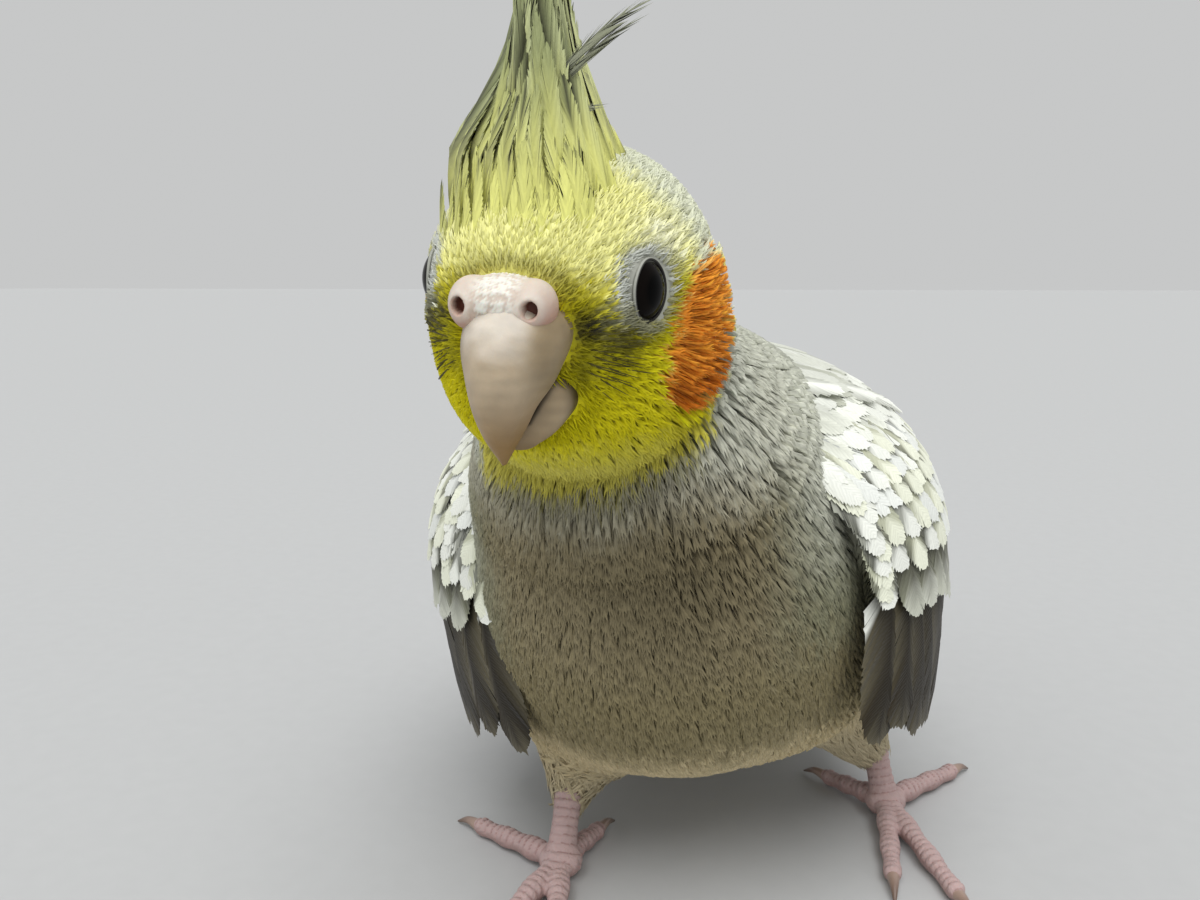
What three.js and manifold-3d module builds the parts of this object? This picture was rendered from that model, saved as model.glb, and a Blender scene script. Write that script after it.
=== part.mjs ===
// A young cockatiel, life size, standing on a flat floor with its crest up and its wings a little low.
// Millimetres, +Z up. The bird faces -Y, so its left side is +X. The soles are at z = 0, and the origin
// is under the middle of the bird's outer box.
import * as THREE from "three";
import { mergeVertices } from "three/addons/utils/BufferGeometryUtils.js";
import Module from "manifold-3d";

const wasm = await Module();
wasm.setup();

// Driving dimensions
const SEAM = 0.3; // gap that parts two neighbouring pieces
const LEAN = { degrees: -5, height: 50, middle: -1.5 }; // the trunk leans to the bird's right about this height
const HEAD = { at: [-6, -38.6, 86.9], yaw: 2.5, pitch: 11.5, roll: -3.5 }; // middle of the head, and how it is held
const EYE = { at: [8.6, 6.5, 2.3], radius: 4, lidRadius: 3.05, lidTube: 0.6, facing: [0.95, 0.3, 0.08], dish: 8 };
const TAIL = { length: 128, root: [-1, 46, 43], featherWidth: 12 };
const FEET = {
  left: { pad: [32.5, 17.5], ankle: [30, 21, 9], hip: [17, 11, 31] },
  right: { pad: [-15, -12.5], ankle: [-15.5, -6, 8.5], hip: [-13, 4, 31] },
};
const SHANK_RADIUS = 2.1;
const TOE_RADIUS = 1.75;
const CLAW_LENGTH = 5.5;
const FOOT_TOP = 3.9;
const FLOOR = 0;

// Vectors and seeded chance
const at = (x, y, z) => new THREE.Vector3(x, y, z);
const mix = THREE.MathUtils.lerp;
const mixAll = (a, b, share) => a.map((value, i) => mix(value, b[i], share));
const rad = THREE.MathUtils.degToRad;
let seed = 7;
function chance(spread) {
  seed = (seed * 16807) % 2147483647;
  return (seed / 2147483647 - 0.5) * 2 * spread;
}

// The trunk's lean: points above the pivot height move to the bird's right.
const LEAN_TURN = new THREE.Quaternion().setFromAxisAngle(at(0, 1, 0), rad(LEAN.degrees));
const LEAN_FOOT = at(LEAN.middle, 0, LEAN.height);
const leaned = (x, y, z) => at(x, y, z - LEAN.height).applyQuaternion(LEAN_TURN).add(LEAN_FOOT);

// The head's own axes: x to its left, y forward, z up.
const HEAD_MIDDLE = at(...HEAD.at);
const HEAD_TURN = new THREE.Quaternion()
  .setFromEuler(new THREE.Euler(rad(HEAD.pitch), rad(-HEAD.roll), rad(-HEAD.yaw), "ZXY"));
const headVector = (left, forward, up) => at(left, -forward, up).applyQuaternion(HEAD_TURN);
const onHead = (left, forward, up) => headVector(left, forward, up).add(HEAD_MIDDLE);

// Soft forms: ellipsoid lobes that melt into each other
function lobe(centre, radii, turn = new THREE.Quaternion()) {
  return { centre, radii: at(...radii), back: turn.clone().invert() };
}

function trunkLobe([x, y, z], radii, pitch = 0) {
  const tilt = new THREE.Quaternion().setFromAxisAngle(at(1, 0, 0), rad(pitch));
  return lobe(leaned(x, y, z), radii, LEAN_TURN.clone().multiply(tilt));
}

const headLobe = (centre, radii) => lobe(onHead(...centre), radii, HEAD_TURN);

function lobeDistance({ centre, radii, back }, point) {
  const q = point.clone().sub(centre).applyQuaternion(back).divide(radii);
  const share = q.length();
  const slope = q.divide(radii).length();
  return slope > 0 ? (share * (share - 1)) / slope : -Math.min(radii.x, radii.y, radii.z);
}

function smoothMin(a, b, softness) {
  const near = Math.max(softness - Math.abs(a - b), 0) / softness;
  return Math.min(a, b) - (near * near * softness) / 4;
}

function melted(lobes, softness) {
  return (point) => lobes.map((l) => lobeDistance(l, point)).reduce((a, b) => smoothMin(a, b, softness));
}

function slopeOf(field, point) {
  const step = 0.05;
  const rise = (x, y, z) => field(point.clone().add(at(x, y, z))) - field(point.clone().sub(at(x, y, z)));
  return at(rise(step, 0, 0), rise(0, step, 0), rise(0, 0, step)).normalize();
}

// Moves a point to where the field has the value lift.
function settle(field, start, lift) {
  const point = start.clone();
  for (let i = 0; i < 6; i += 1) point.addScaledVector(slopeOf(field, point), lift - field(point));
  return point;
}

// A closed surface round a field: each corner of a stretched sphere slides out along its ray to the surface.
// The sphere's poles lie along its own y axis, which turn carries.
function wrap(field, { centre, stretch, turn, columns, rows }, offset = 0) {
  const shell = new THREE.SphereGeometry(1, columns, rows);
  const corners = shell.attributes.position;
  for (let i = 0; i < corners.count; i += 1) {
    const ray = at(corners.getX(i), corners.getY(i), corners.getZ(i));
    ray.multiply(at(...stretch)).applyQuaternion(turn).normalize();
    let inner = 0;
    let outer = 2;
    while (field(centre.clone().addScaledVector(ray, outer)) < offset) {
      inner = outer;
      outer += 2;
    }
    for (let k = 0; k < 18; k += 1) {
      const half = (inner + outer) / 2;
      if (field(centre.clone().addScaledVector(ray, half)) < offset) inner = half;
      else outer = half;
    }
    corners.setXYZ(i, ...centre.clone().addScaledVector(ray, inner).toArray());
  }
  return solid(shell);
}

// Solids: three.js geometry in and out of the boolean library
function solid(geometry) {
  const bare = geometry.clone();
  bare.deleteAttribute("normal");
  bare.deleteAttribute("uv");
  const merged = mergeVertices(bare, 1e-4);
  return new wasm.Manifold(new wasm.Mesh({
    numProp: 3,
    vertProperties: merged.attributes.position.array,
    triVerts: new Uint32Array(merged.index.array),
  }));
}

// The largest closed surface of a solid, as a geometry.
function largest(made) {
  const body = made.decompose().sort((a, b) => b.volume() - a.volume())[0];
  const mesh = body.getMesh();
  const geometry = new THREE.BufferGeometry();
  geometry.setAttribute("position", new THREE.BufferAttribute(new Float32Array(mesh.vertProperties), 3));
  geometry.setIndex(new THREE.BufferAttribute(new Uint32Array(mesh.triVerts), 1));
  geometry.computeVertexNormals();
  return geometry;
}

const joined = (solids) => solids.reduce((all, next) => all.add(next));

// Everything on the side of a plane that its normal points to.
function beyond(point, normal) {
  const size = 500;
  const box = new THREE.BoxGeometry(size, size, size).translate(0, 0, size / 2);
  box.applyQuaternion(new THREE.Quaternion().setFromUnitVectors(at(0, 0, 1), normal.clone().normalize()));
  return solid(box.translate(point.x, point.y, point.z));
}

const aboveFloor = (made) => made.subtract(beyond(at(0, 0, FLOOR), at(0, 0, -1)));

// A solid from corners and triangles, turned right side out.
function closed(corners, faces) {
  const geometry = new THREE.BufferGeometry().setFromPoints(corners);
  geometry.setIndex(faces);
  const made = solid(geometry);
  if (made.volume() > 0) return made;
  geometry.setIndex(faces.reverse());
  return solid(geometry);
}

// A closed body through rings of corners, each ring listed the same way round.
function loft(rings) {
  const sides = rings[0].length;
  const corners = rings.flat();
  const faces = [];
  rings.slice(1).forEach((_, r) => {
    for (let s = 0; s < sides; s += 1) {
      const [a, b] = [r * sides + s, r * sides + ((s + 1) % sides)];
      faces.push(a, b, a + sides, b, b + sides, a + sides);
    }
  });
  [[0, false], [rings.length - 1, true]].forEach(([r, end]) => {
    const middle = corners.push(rings[r].reduce((sum, p) => sum.add(p), at(0, 0, 0)).divideScalar(sides)) - 1;
    for (let s = 0; s < sides; s += 1) {
      const [a, b] = [r * sides + s, r * sides + ((s + 1) % sides)];
      faces.push(...(end ? [a, b, middle] : [b, a, middle]));
    }
  });
  return closed(corners, faces);
}

// A round limb along a smooth line, its radius given by the share of the way along it.
function limb(points, radiusAt, rings, sides) {
  const line = new THREE.CatmullRomCurve3(points);
  const { tangents, normals, binormals } = line.computeFrenetFrames(rings, false);
  return loft(tangents.map((_, i) => {
    const share = i / rings;
    const middle = line.getPointAt(share);
    return Array.from({ length: sides }, (__, s) => {
      const turn = (s / sides) * 2 * Math.PI;
      return middle.clone()
        .addScaledVector(normals[i], Math.cos(turn) * radiusAt(share))
        .addScaledVector(binormals[i], Math.sin(turn) * radiusAt(share));
    });
  }));
}

// A feather's half width along it, as a share of its greatest: quill, full web, then a round or pointed tip.
function webShare(share, point) {
  const quill = 0.22;
  const open = Math.min(share / 0.35, 1);
  const close = Math.max((share - point) / (1 - point), 0);
  return (quill + (1 - quill) * open * (2 - open)) * Math.sqrt(Math.max(1 - close * close, 0.02));
}

// A feather as a strip over stations { point, face }, rolled a little about its shaft, and split into the
// same triangles on both sides.
function vane(stations, { width, thick = 0.6, point = 0.6, roll = 0 }) {
  const last = stations.length - 1;
  const corners = stations.flatMap(({ point: middle, face }, i) => {
    const ahead = stations[Math.min(i + 1, last)].point.clone().sub(stations[Math.max(i - 1, 0)].point);
    const level = ahead.clone().cross(face).normalize();
    const up = face.clone().addScaledVector(level, Math.tan(roll)).normalize();
    const side = ahead.cross(up).normalize().multiplyScalar((width / 2) * webShare(i / last, point));
    const place = (share, rise) => middle.clone().addScaledVector(side, share).addScaledVector(up, rise);
    return [place(-1, thick / 2), place(1, thick / 2), place(-1, -thick / 2), place(1, -thick / 2)];
  });
  const faces = [0, 1, 3, 0, 3, 2];
  for (let i = 0; i < last; i += 1) {
    const [a, b, c, d] = [0, 1, 2, 3].map((k) => i * 4 + k);
    const [e, f, g, h] = [a, b, c, d].map((k) => k + 4);
    faces.push(a, e, f, a, f, b, c, h, g, c, d, h, a, c, g, a, g, e, b, f, h, b, h, d);
  }
  const end = last * 4;
  faces.push(end, end + 3, end + 1, end, end + 2, end + 3);
  return closed(corners, faces);
}

// Flesh: trunk, neck and head melt into one field, so that outlines run on across the cuts.
const trunkField = melted([
  trunkLobe([0, -5, 50], [28, 27, 31]),
  trunkLobe([1, 12, 39], [27, 32, 26]),
  trunkLobe([0, 42, 42], [15, 22, 13], -12),
  trunkLobe([0, 3, 64], [22, 26, 18]),
  trunkLobe([-1, -19, 68], [18, 17, 16]),
  trunkLobe([17, 9, 32], [12.5, 15, 14]),
  trunkLobe([-14, 2, 31], [13, 14, 14]),
], 12);
const headField = melted([
  headLobe([0, -4, 0], [16, 17.6, 15.8]),
  headLobe([0, 7, -0.5], [10.2, 9.5, 10.5]),
  headLobe([5.2, 2, -7], [6.8, 8.5, 7.5]),
  headLobe([-5.2, 2, -7], [6.8, 8.5, 7.5]),
  headLobe([0, 6.2, -9.6], [7.6, 7.8, 6]),
], 5);
const flesh = (point) => smoothMin(trunkField(point), headField(point), 10);
const poleTo = (x, y, z) => new THREE.Quaternion().setFromUnitVectors(at(0, 1, 0), at(x, y, z).normalize());

const TORSO_WRAP = {
  centre: leaned(0, 8, 48), stretch: [1, 1.4, 1], turn: poleTo(0, 0.8, -0.6), columns: 32, rows: 20,
};
const HEAD_WRAP = { centre: HEAD_MIDDLE, stretch: [1, 1, 1], turn: HEAD_TURN, columns: 28, rows: 18 };

// The two slanted cuts that part the neck from the trunk and from the head; normals point headwards.
const TRUNK_CUT = { point: at(-5, -21, 64), normal: at(-0.08, -0.62, 0.78).normalize() };
const HEAD_CUT = { point: at(-7, -32, 69.5), normal: at(-0.08, -0.47, 0.88).normalize() };
const shifted = ({ point, normal }, by) => ({ point: point.clone().addScaledVector(normal, by), normal });
const headwards = ({ point, normal }) => beyond(point, normal);
const tailwards = ({ point, normal }) => beyond(point, normal.clone().negate());

const wholeTorso = wrap(flesh, TORSO_WRAP);
const torsoSpace = wrap(flesh, TORSO_WRAP, SEAM);

function torso() {
  return wholeTorso.subtract(headwards(TRUNK_CUT));
}

// Rings round the field in planes that turn evenly from one cut to the other.
function neck() {
  const [low, high] = [shifted(TRUNK_CUT, SEAM), shifted(HEAD_CUT, -SEAM)];
  const [rings, sides] = [6, 32];
  return loft(Array.from({ length: rings }, (_, r) => {
    const share = r / (rings - 1);
    const middle = low.point.clone().lerp(high.point, share);
    const normal = low.normal.clone().lerp(high.normal, share).normalize();
    const across = at(1, 0, 0).addScaledVector(normal, -normal.x).normalize();
    const along = normal.clone().cross(across);
    return Array.from({ length: sides }, (__, s) => {
      const turn = (s / sides) * 2 * Math.PI;
      const ray = across.clone().multiplyScalar(Math.cos(turn)).addScaledVector(along, Math.sin(turn));
      let [inner, outer] = [0, 60];
      for (let k = 0; k < 20; k += 1) {
        const half = (inner + outer) / 2;
        if (flesh(middle.clone().addScaledVector(ray, half)) < 0) inner = half;
        else outer = half;
      }
      return middle.clone().addScaledVector(ray, inner);
    });
  }));
}

// Bill: each station gives the culmen and the cutting edge as [forward, up], and the half width.
const UPPER_BILL = [
  { top: [11, 3], edge: [11, -4.6], half: 5.2 },
  { top: [16, 3.4], edge: [12.8, -5.4], half: 5.2 },
  { top: [19.6, 1.8], edge: [13.9, -6.7], half: 5 },
  { top: [21.8, -1.6], edge: [14.8, -8.2], half: 4.4 },
  { top: [22.1, -5.4], edge: [15.8, -9.6], half: 3.4 },
  { top: [20.6, -9.3], edge: [16.5, -11.2], half: 2.2 },
  { top: [17.4, -13.2], edge: [16.5, -12.9], half: 0.5 },
];
const LOWER_BILL = [
  { top: [8, -4.8], edge: [8, -10.8], half: 4.9 },
  { top: [11.5, -5.2], edge: [11.5, -11.9], half: 4.8 },
  { top: [13.4, -6.6], edge: [13.8, -12.4], half: 4.2 },
  { top: [15.3, -9.2], edge: [15.3, -12], half: 2.6 },
];

function bill(stations, grow = 0) {
  const sides = 14;
  const last = stations.length - 1;
  return loft(stations.map(({ top, edge, half }, i) => {
    const ahead = grow * ((i === last) - (i === 0));
    const upper = onHead(0, top[0] + ahead, top[1]);
    const lower = onHead(0, edge[0] + ahead, edge[1]);
    const reach = upper.clone().sub(lower).multiplyScalar(0.5);
    const middle = lower.clone().add(reach);
    reach.setLength(reach.length() + grow);
    const across = headVector(half + grow, 0, 0);
    return Array.from({ length: sides }, (_, s) => {
      const turn = (s / sides) * 2 * Math.PI;
      const [wide, high] = [Math.cos(turn), Math.sin(turn)];
      return middle.clone().addScaledVector(across, wide).addScaledVector(reach, high);
    });
  }));
}

// A ball stretched along the head's axes.
function headBall(centre, radii) {
  const ball = new THREE.SphereGeometry(1, 12, 7).scale(radii[0], radii[2], radii[1]);
  ball.rotateX(Math.PI / 2).applyQuaternion(HEAD_TURN);
  return solid(ball.translate(...onHead(...centre).toArray()));
}

// A round pin along a direction given in the head's axes, from a point on it.
function headPin(start, direction, radius, length, sides = 12) {
  const pin = new THREE.CylinderGeometry(radius, radius, length, sides).translate(0, length / 2, 0);
  const way = headVector(...direction).normalize();
  pin.applyQuaternion(new THREE.Quaternion().setFromUnitVectors(at(0, 1, 0), way));
  return solid(pin.translate(...onHead(...start).toArray()));
}

function cereForm(grow = 0) {
  const nares = [1, -1].map((side) => headBall([side * 2.9, 16.5, 2.9], [2.4, 2.7, 2.4].map((r) => r + grow)));
  return joined([headBall([0, 15.4, 3.2], [4.2, 3.6, 2.3].map((r) => r + grow)), ...nares]);
}

function cere() {
  const nostrils = [1, -1].map((side) => headPin([side * 3.4, 17.2, 2.9], [side * 0.3, 1, 0.02], 0.7, 6));
  return cereForm().subtract(bill(UPPER_BILL, SEAM)).subtract(joined(nostrils));
}

function eyeBall(side, grow = 0) {
  const ball = new THREE.SphereGeometry(EYE.radius + grow, 16, 10);
  const [left, forward, up] = EYE.at;
  return solid(ball.translate(...onHead(side * left, forward, up).toArray()));
}

// Where the lid's ring stands on the eye, and the way it faces.
const lidDepth = Math.sqrt(EYE.radius ** 2 - EYE.lidRadius ** 2);
function lidSeat(side) {
  const [left, forward, up] = EYE.facing;
  const facing = headVector(side * left, forward, up).normalize();
  return { facing, middle: onHead(side * EYE.at[0], EYE.at[1], EYE.at[2]).addScaledVector(facing, lidDepth) };
}

function lid(side) {
  const { facing, middle } = lidSeat(side);
  const ring = new THREE.TorusGeometry(EYE.lidRadius, EYE.lidTube, 6, 16);
  ring.applyQuaternion(new THREE.Quaternion().setFromUnitVectors(at(0, 0, 1), facing));
  return solid(ring.translate(...middle.toArray()));
}

// The shallow dish that the eye and its lids lie in.
function eyeDish(side) {
  const { facing, middle } = lidSeat(side);
  middle.addScaledVector(facing, EYE.dish);
  return solid(new THREE.SphereGeometry(EYE.dish, 20, 14).translate(...middle.toArray()));
}

// The crown cap, cut off the head by a tilted plane, carries the crest.
const CROWN_CUT = { point: onHead(0, 1, 9.6), normal: headVector(0, 0.35, 1).normalize() };

function head() {
  const bills = [bill(UPPER_BILL, SEAM), bill(LOWER_BILL, 1.5 * SEAM)];
  const seats = [cereForm(SEAM), ...bills, eyeBall(1, SEAM), eyeBall(-1, SEAM)];
  return wrap(flesh, HEAD_WRAP)
    .subtract(joined([eyeDish(1), eyeDish(-1)]))
    .add(joined([lid(1), lid(-1)]))
    .subtract(tailwards(HEAD_CUT))
    .subtract(headwards(CROWN_CUT))
    .subtract(joined(seats));
}

// Crest rows from the brow to the nape: where each roots, how many feathers it has, how far they spread
// to either side at the root, and how long they are.
const CREST_ROWS = [
  { forward: 9.5, count: 3, spread: 6, length: 13 },
  { forward: 7, count: 3, spread: 8, length: 20 },
  { forward: 4, count: 4, spread: 9.7, length: 29 },
  { forward: 1, count: 4, spread: 9.5, length: 37 },
  { forward: -2, count: 3, spread: 7.5, length: 41 },
  { forward: -5, count: 2, spread: 4.5, length: 37 },
];
// Two loose feathers bend away to the bird's left: how far they end up out, back and above the crown.
const CREST_WISPS = [{ out: 13, back: 11, rise: 37, width: 1.9 }, { out: 9, back: 9, rise: 27, width: 1.8 }];
const CREST_SHAPE = {
  width: 3.8, closing: 7.5, least: 0.12, lean: 0.13, fan: 0.016, curl: 0.16, aside: -1.6, sunk: 2.6,
};

// A crest feather, its outer side to the front. Above their roots the feathers draw in from both sides, and
// lean back more and more, the rear rows most; away says how far a tip strays out and back from that.
function crestFeather(left, forward, length, { width = CREST_SHAPE.width, away = [0, 0] } = {}) {
  const { closing, least, lean, fan, curl, aside, sunk } = CREST_SHAPE;
  const foot = settle(flesh, onHead(left, forward, 13), -sunk).sub(HEAD_MIDDLE).dot(headVector(0, 0, 1));
  const stations = [0, 0.25, 0.6, 1].map((share) => {
    const rise = length * share;
    const narrow = mix(least, 1, Math.exp(-rise / closing));
    const out = left * narrow + aside + away[0] * share ** 2;
    const back = (lean - fan * forward) * rise + curl * rise * share + away[1] * share ** 2;
    return { point: onHead(out, forward - back, foot + rise), face: headVector(left * 0.08, 1, 0.2).normalize() };
  });
  return vane(stations, { width, point: 0.25, roll: rad(chance(10)) });
}

function crestFeathers() {
  const rows = CREST_ROWS.flatMap(({ forward, count, spread, length }) => (
    Array.from({ length: count }, (_, k) => (
      crestFeather(mix(-spread, spread, k / (count - 1)) + chance(0.3), forward, length + chance(1.5))
    ))
  ));
  const wisps = CREST_WISPS.map(({ out, back, rise, width }) => (
    crestFeather(2.5, -4, rise, { width, away: [out, back] })
  ));
  return joined([...rows, ...wisps]);
}

function crest() {
  const cap = wrap(flesh, HEAD_WRAP).subtract(tailwards(shifted(CROWN_CUT, SEAM)));
  return cap.add(crestFeathers().subtract(tailwards(shifted(CROWN_CUT, SEAM)))).subtract(cereForm(SEAM));
}

// Wings: the outer face is a row of half ellipses along the body, between one at the shoulder and one
// at the wing's tip. Each has its place along the body, its height, and its reach out, up and down.
const WING = {
  front: 34,
  shoulder: { back: 8, height: 48, out: 40, above: 32, below: 66 },
  tip: { back: 97, height: 34, out: 11.3, above: 9, below: 20 },
};

function wingReach(y, z) {
  const { front, shoulder, tip } = WING;
  const share = THREE.MathUtils.smoothstep(y, shoulder.back, tip.back);
  const { height, out, above, below } = Object.fromEntries(
    ["height", "out", "above", "below"].map((key) => [key, mix(shoulder[key], tip[key], share)]),
  );
  const ahead = Math.max(shoulder.back - y, 0) / front;
  const up = (z - height) / (z < height ? below : above);
  return out * Math.sqrt(Math.max(1 - ahead * ahead - up * up, 0.02));
}

// A place on the wing's outer face, over a spot on the bird's side, with the way it faces.
function onWing(side, y, z, lift) {
  const step = 0.5;
  const slopeBack = (wingReach(y + step, z) - wingReach(y - step, z)) / (2 * step);
  const slopeUp = (wingReach(y, z + step) - wingReach(y, z - step)) / (2 * step);
  const face = at(side, -slopeBack, -slopeUp).normalize();
  const spot = at(side * wingReach(y, z), y, z).addScaledVector(face, lift);
  return { point: leaned(spot.x, spot.y, spot.z), face: face.applyQuaternion(LEAN_TURN) };
}

// The fleshy part of the wing, as its outline on the bird's side in [back, up].
const WING_FLESH = {
  outline: [[-15, 55], [-8, 69], [12, 73], [36, 63], [58, 49], [40, 37], [18, 34], [-3, 35], [-12, 43]],
  middle: [18, 53],
  depth: 18,
};

function wingCore(side) {
  const sides = 24;
  const { outline, middle, depth } = WING_FLESH;
  const rim = new THREE.CatmullRomCurve3(outline.map(([y, z]) => at(0, y, z)), true).getPoints(sides).slice(1);
  const ring = (share, lift, deep = 0) => rim.map((corner) => {
    const { y, z } = at(0, ...middle).lerp(corner, share);
    return onWing(side, y, z, lift - deep * mix(depth, 3, THREE.MathUtils.smoothstep(y, 10, 58))).point;
  });
  return loft([ring(0.5, 0, 1), ring(0.96, 0, 1), ring(1, -1.6), ring(0.9, -0.7), ring(0.5, -0.5)]);
}

// Feather tiers, deepest first. Each runs from its lowest feather, at the wing's front edge, to its highest:
// root as [back, up], how steeply it points down from straight back, length and width.
const WING_TIERS = [
  { count: 11, low: { root: [-2, 43], steep: 74, length: 29, width: 10 },
    high: { root: [34, 56], steep: 19, length: 72, width: 13 }, lift: [-1, 0.1], steps: 3 },
  { count: 7, low: { root: [-8, 51], steep: 80, length: 18, width: 9 },
    high: { root: [36, 63], steep: 24, length: 30, width: 13 }, lift: [-1.2, 0.9], steps: 2 },
  { count: 5, low: { root: [-12, 58], steep: 80, length: 15, width: 9 },
    high: { root: [24, 69], steep: 30, length: 21, width: 11 }, lift: [-1.2, 1.3], steps: 2 },
  { count: 5, low: { root: [-12, 64], steep: 70, length: 11, width: 9 },
    high: { root: [12, 72], steep: 36, length: 15, width: 10 }, lift: [-1.2, 1.5], steps: 2 },
];

function wingFeather(side, { root, steep, length, width }, { lift, steps }) {
  const turn = rad(steep + chance(1.5));
  const stations = Array.from({ length: steps + 1 }, (_, i) => {
    const share = i / steps;
    const y = root[0] + length * share * Math.cos(turn);
    const z = root[1] - length * share * Math.sin(turn) * (1 - 0.08 * share);
    return onWing(side, y, z, mix(...lift, share ** 0.7));
  });
  return vane(stations, { width, point: 0.5, roll: side * rad(5) });
}

function wing(side) {
  const feathers = WING_TIERS.flatMap((tier) => Array.from({ length: tier.count }, (_, k) => {
    const share = k / (tier.count - 1);
    const between = (key) => mix(tier.low[key], tier.high[key], share);
    const feather = { root: mixAll(tier.low.root, tier.high.root, share), steep: between("steep"),
      length: mix(tier.low.length, tier.high.length, share ** 1.15), width: between("width") };
    return wingFeather(side, feather, tier);
  }));
  const leg = thighForm(side > 0 ? "left" : "right", SEAM);
  return joined([wingCore(side), ...feathers]).subtract(torsoSpace).subtract(leg);
}

// Tail: pairs from the long middle one, which lies on top, to the short outer one.
const TAIL_LENGTHS = [1, 0.94, 0.81, 0.69, 0.58];

// A tail feather's line drops from the rump and levels off on the floor.
function tailFeather(side, pair, share, options) {
  const { length, root } = TAIL;
  const steps = options.steps;
  const splay = side * rad(0.6 + pair);
  const sink = options.sink;
  const stations = Array.from({ length: steps + 1 }, (_, i) => {
    const along = (share * i) / steps;
    const height = (root[2] - 0.3) * (1 - along) ** 1.25;
    const run = length * 0.94 * along;
    const x = root[0] + side * (1.5 + pair * 0.7) + run * Math.sin(splay);
    return { point: at(x, root[1] + run * Math.cos(splay), 0.3 + height - sink * (1 - along * along)),
      face: at(0, 0.33, 0.94) };
  });
  return vane(stations, { ...options, thick: 0.7, roll: side * rad(-7) });
}

function tail() {
  const quills = [1, -1].flatMap((side) => TAIL_LENGTHS.map((share, pair) => (
    tailFeather(side, pair, share, { steps: 4, width: TAIL.featherWidth - pair * 0.4, point: 0.6, sink: pair * 0.9 })
  )));
  const coverts = [1, -1].flatMap((side) => [0, 2, 4].map((pair) => (
    tailFeather(side, pair, 0.3 - pair * 0.02, { steps: 2, width: 11, point: 0.5, sink: -1.6 + pair * 0.5 })
  )));
  const { root } = TAIL;
  const base = new THREE.SphereGeometry(1, 14, 10).scale(9, 15, 4.6).rotateX(rad(-20));
  base.translate(root[0], root[1] + 12, root[2] - 7.5);
  return aboveFloor(joined([solid(base), ...coverts, ...quills]).subtract(torsoSpace));
}

// Legs
// The feathered thigh ends level at the ankle, and the bare shank runs from there down to the foot.
function thighForm(side, grow = 0) {
  const { ankle, hip } = FEET[side];
  const points = [0, 0.5, 1.1].map((share) => at(...mixAll(hip, ankle, share)));
  const whole = limb(points, (share) => grow + mix(11, 3.2, share ** 1.6), 7, 14);
  return whole.subtract(beyond(at(0, 0, ankle[2] - grow), at(0, 0, -1)));
}

function thigh(side) {
  return thighForm(side).subtract(torsoSpace);
}

function shank(side) {
  const { ankle, pad } = FEET[side];
  const top = at(ankle[0], ankle[1], ankle[2] + 2);
  const foot = at(pad[0], pad[1], 2);
  return limb([top, top.clone().lerp(foot, 0.5), foot], () => SHANK_RADIUS, 4, 10)
    .subtract(beyond(at(0, 0, ankle[2] - SEAM), at(0, 0, 1)))
    .subtract(beyond(at(0, 0, FOOT_TOP + SEAM), at(0, 0, -1)));
}

// Toes: the compass angle of each from straight ahead towards the bird's outer side, and its length.
const TOES = {
  left: [[-128, 12], [2, 19], [24, 23], [142, 19]],
  right: [[-165, 11], [-14, 19], [14, 23], [114, 17]],
};

function toeLine(side, [angle, length]) {
  const outward = side === "left" ? 1 : -1;
  const [x, y] = FEET[side].pad;
  const way = at(outward * Math.sin(rad(angle)), -Math.cos(rad(angle)), 0);
  const height = TOE_RADIUS * 0.88;
  const start = at(x, y, height + 1);
  const along = (share, z) => start.clone().addScaledVector(way, length * share).setZ(z);
  return { way, points: [start, along(0.5, height + 0.5), along(0.9, height), along(1, height)] };
}

function foot(side) {
  const toes = TOES[side].map((toe) => {
    const knuckles = (share) => TOE_RADIUS * (1 - 0.28 * share) * (1 + 0.1 * Math.cos(share * 6 * Math.PI));
    return limb(toeLine(side, toe).points, knuckles, 6, 6);
  });
  const [x, y] = FEET[side].pad;
  const pad = new THREE.SphereGeometry(1, 14, 8).scale(3.4, 3.4, 3.4).translate(x, y, 2.6);
  const stem = new THREE.CylinderGeometry(2.3, 2.6, 3, 10).rotateX(Math.PI / 2).translate(x, y, 2.5);
  return aboveFloor(joined([solid(pad), solid(stem), ...toes])).subtract(beyond(at(x, y, FOOT_TOP), at(0, 0, 1)));
}

function claw(side, toe) {
  const { way, points } = toeLine(side, toe);
  const start = points[3].clone().addScaledVector(way, SEAM).setZ(1.3);
  const along = (share, z) => start.clone().addScaledVector(way, CLAW_LENGTH * share).setZ(z);
  return limb([start, along(0.1, 1.3), along(0.55, 1.5), along(1, 0.35)], (share) => mix(1.05, 0.25, share), 4, 6);
}

// Colours and finish
const LOOKS = {
  grey: [0x8f8a84, 0.85], yellow: [0xd9d24a, 0.85], crest: [0xc9c878, 0.85], white: [0xe9e8c8, 0.85],
  dark: [0x54504c, 0.8], horn: [0xc8aaa2, 0.45], cere: [0xd8b9b6, 0.6], eye: [0x120d0b, 0.1],
  skin: [0xc39a96, 0.65], claw: [0x7d6a60, 0.45],
};

const bird = new THREE.Group();
function addPiece(name, made, look) {
  const [color, roughness] = LOOKS[look];
  const mesh = new THREE.Mesh(largest(made), new THREE.MeshStandardMaterial({ color, roughness, metalness: 0 }));
  mesh.name = name;
  bird.add(mesh);
}

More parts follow.
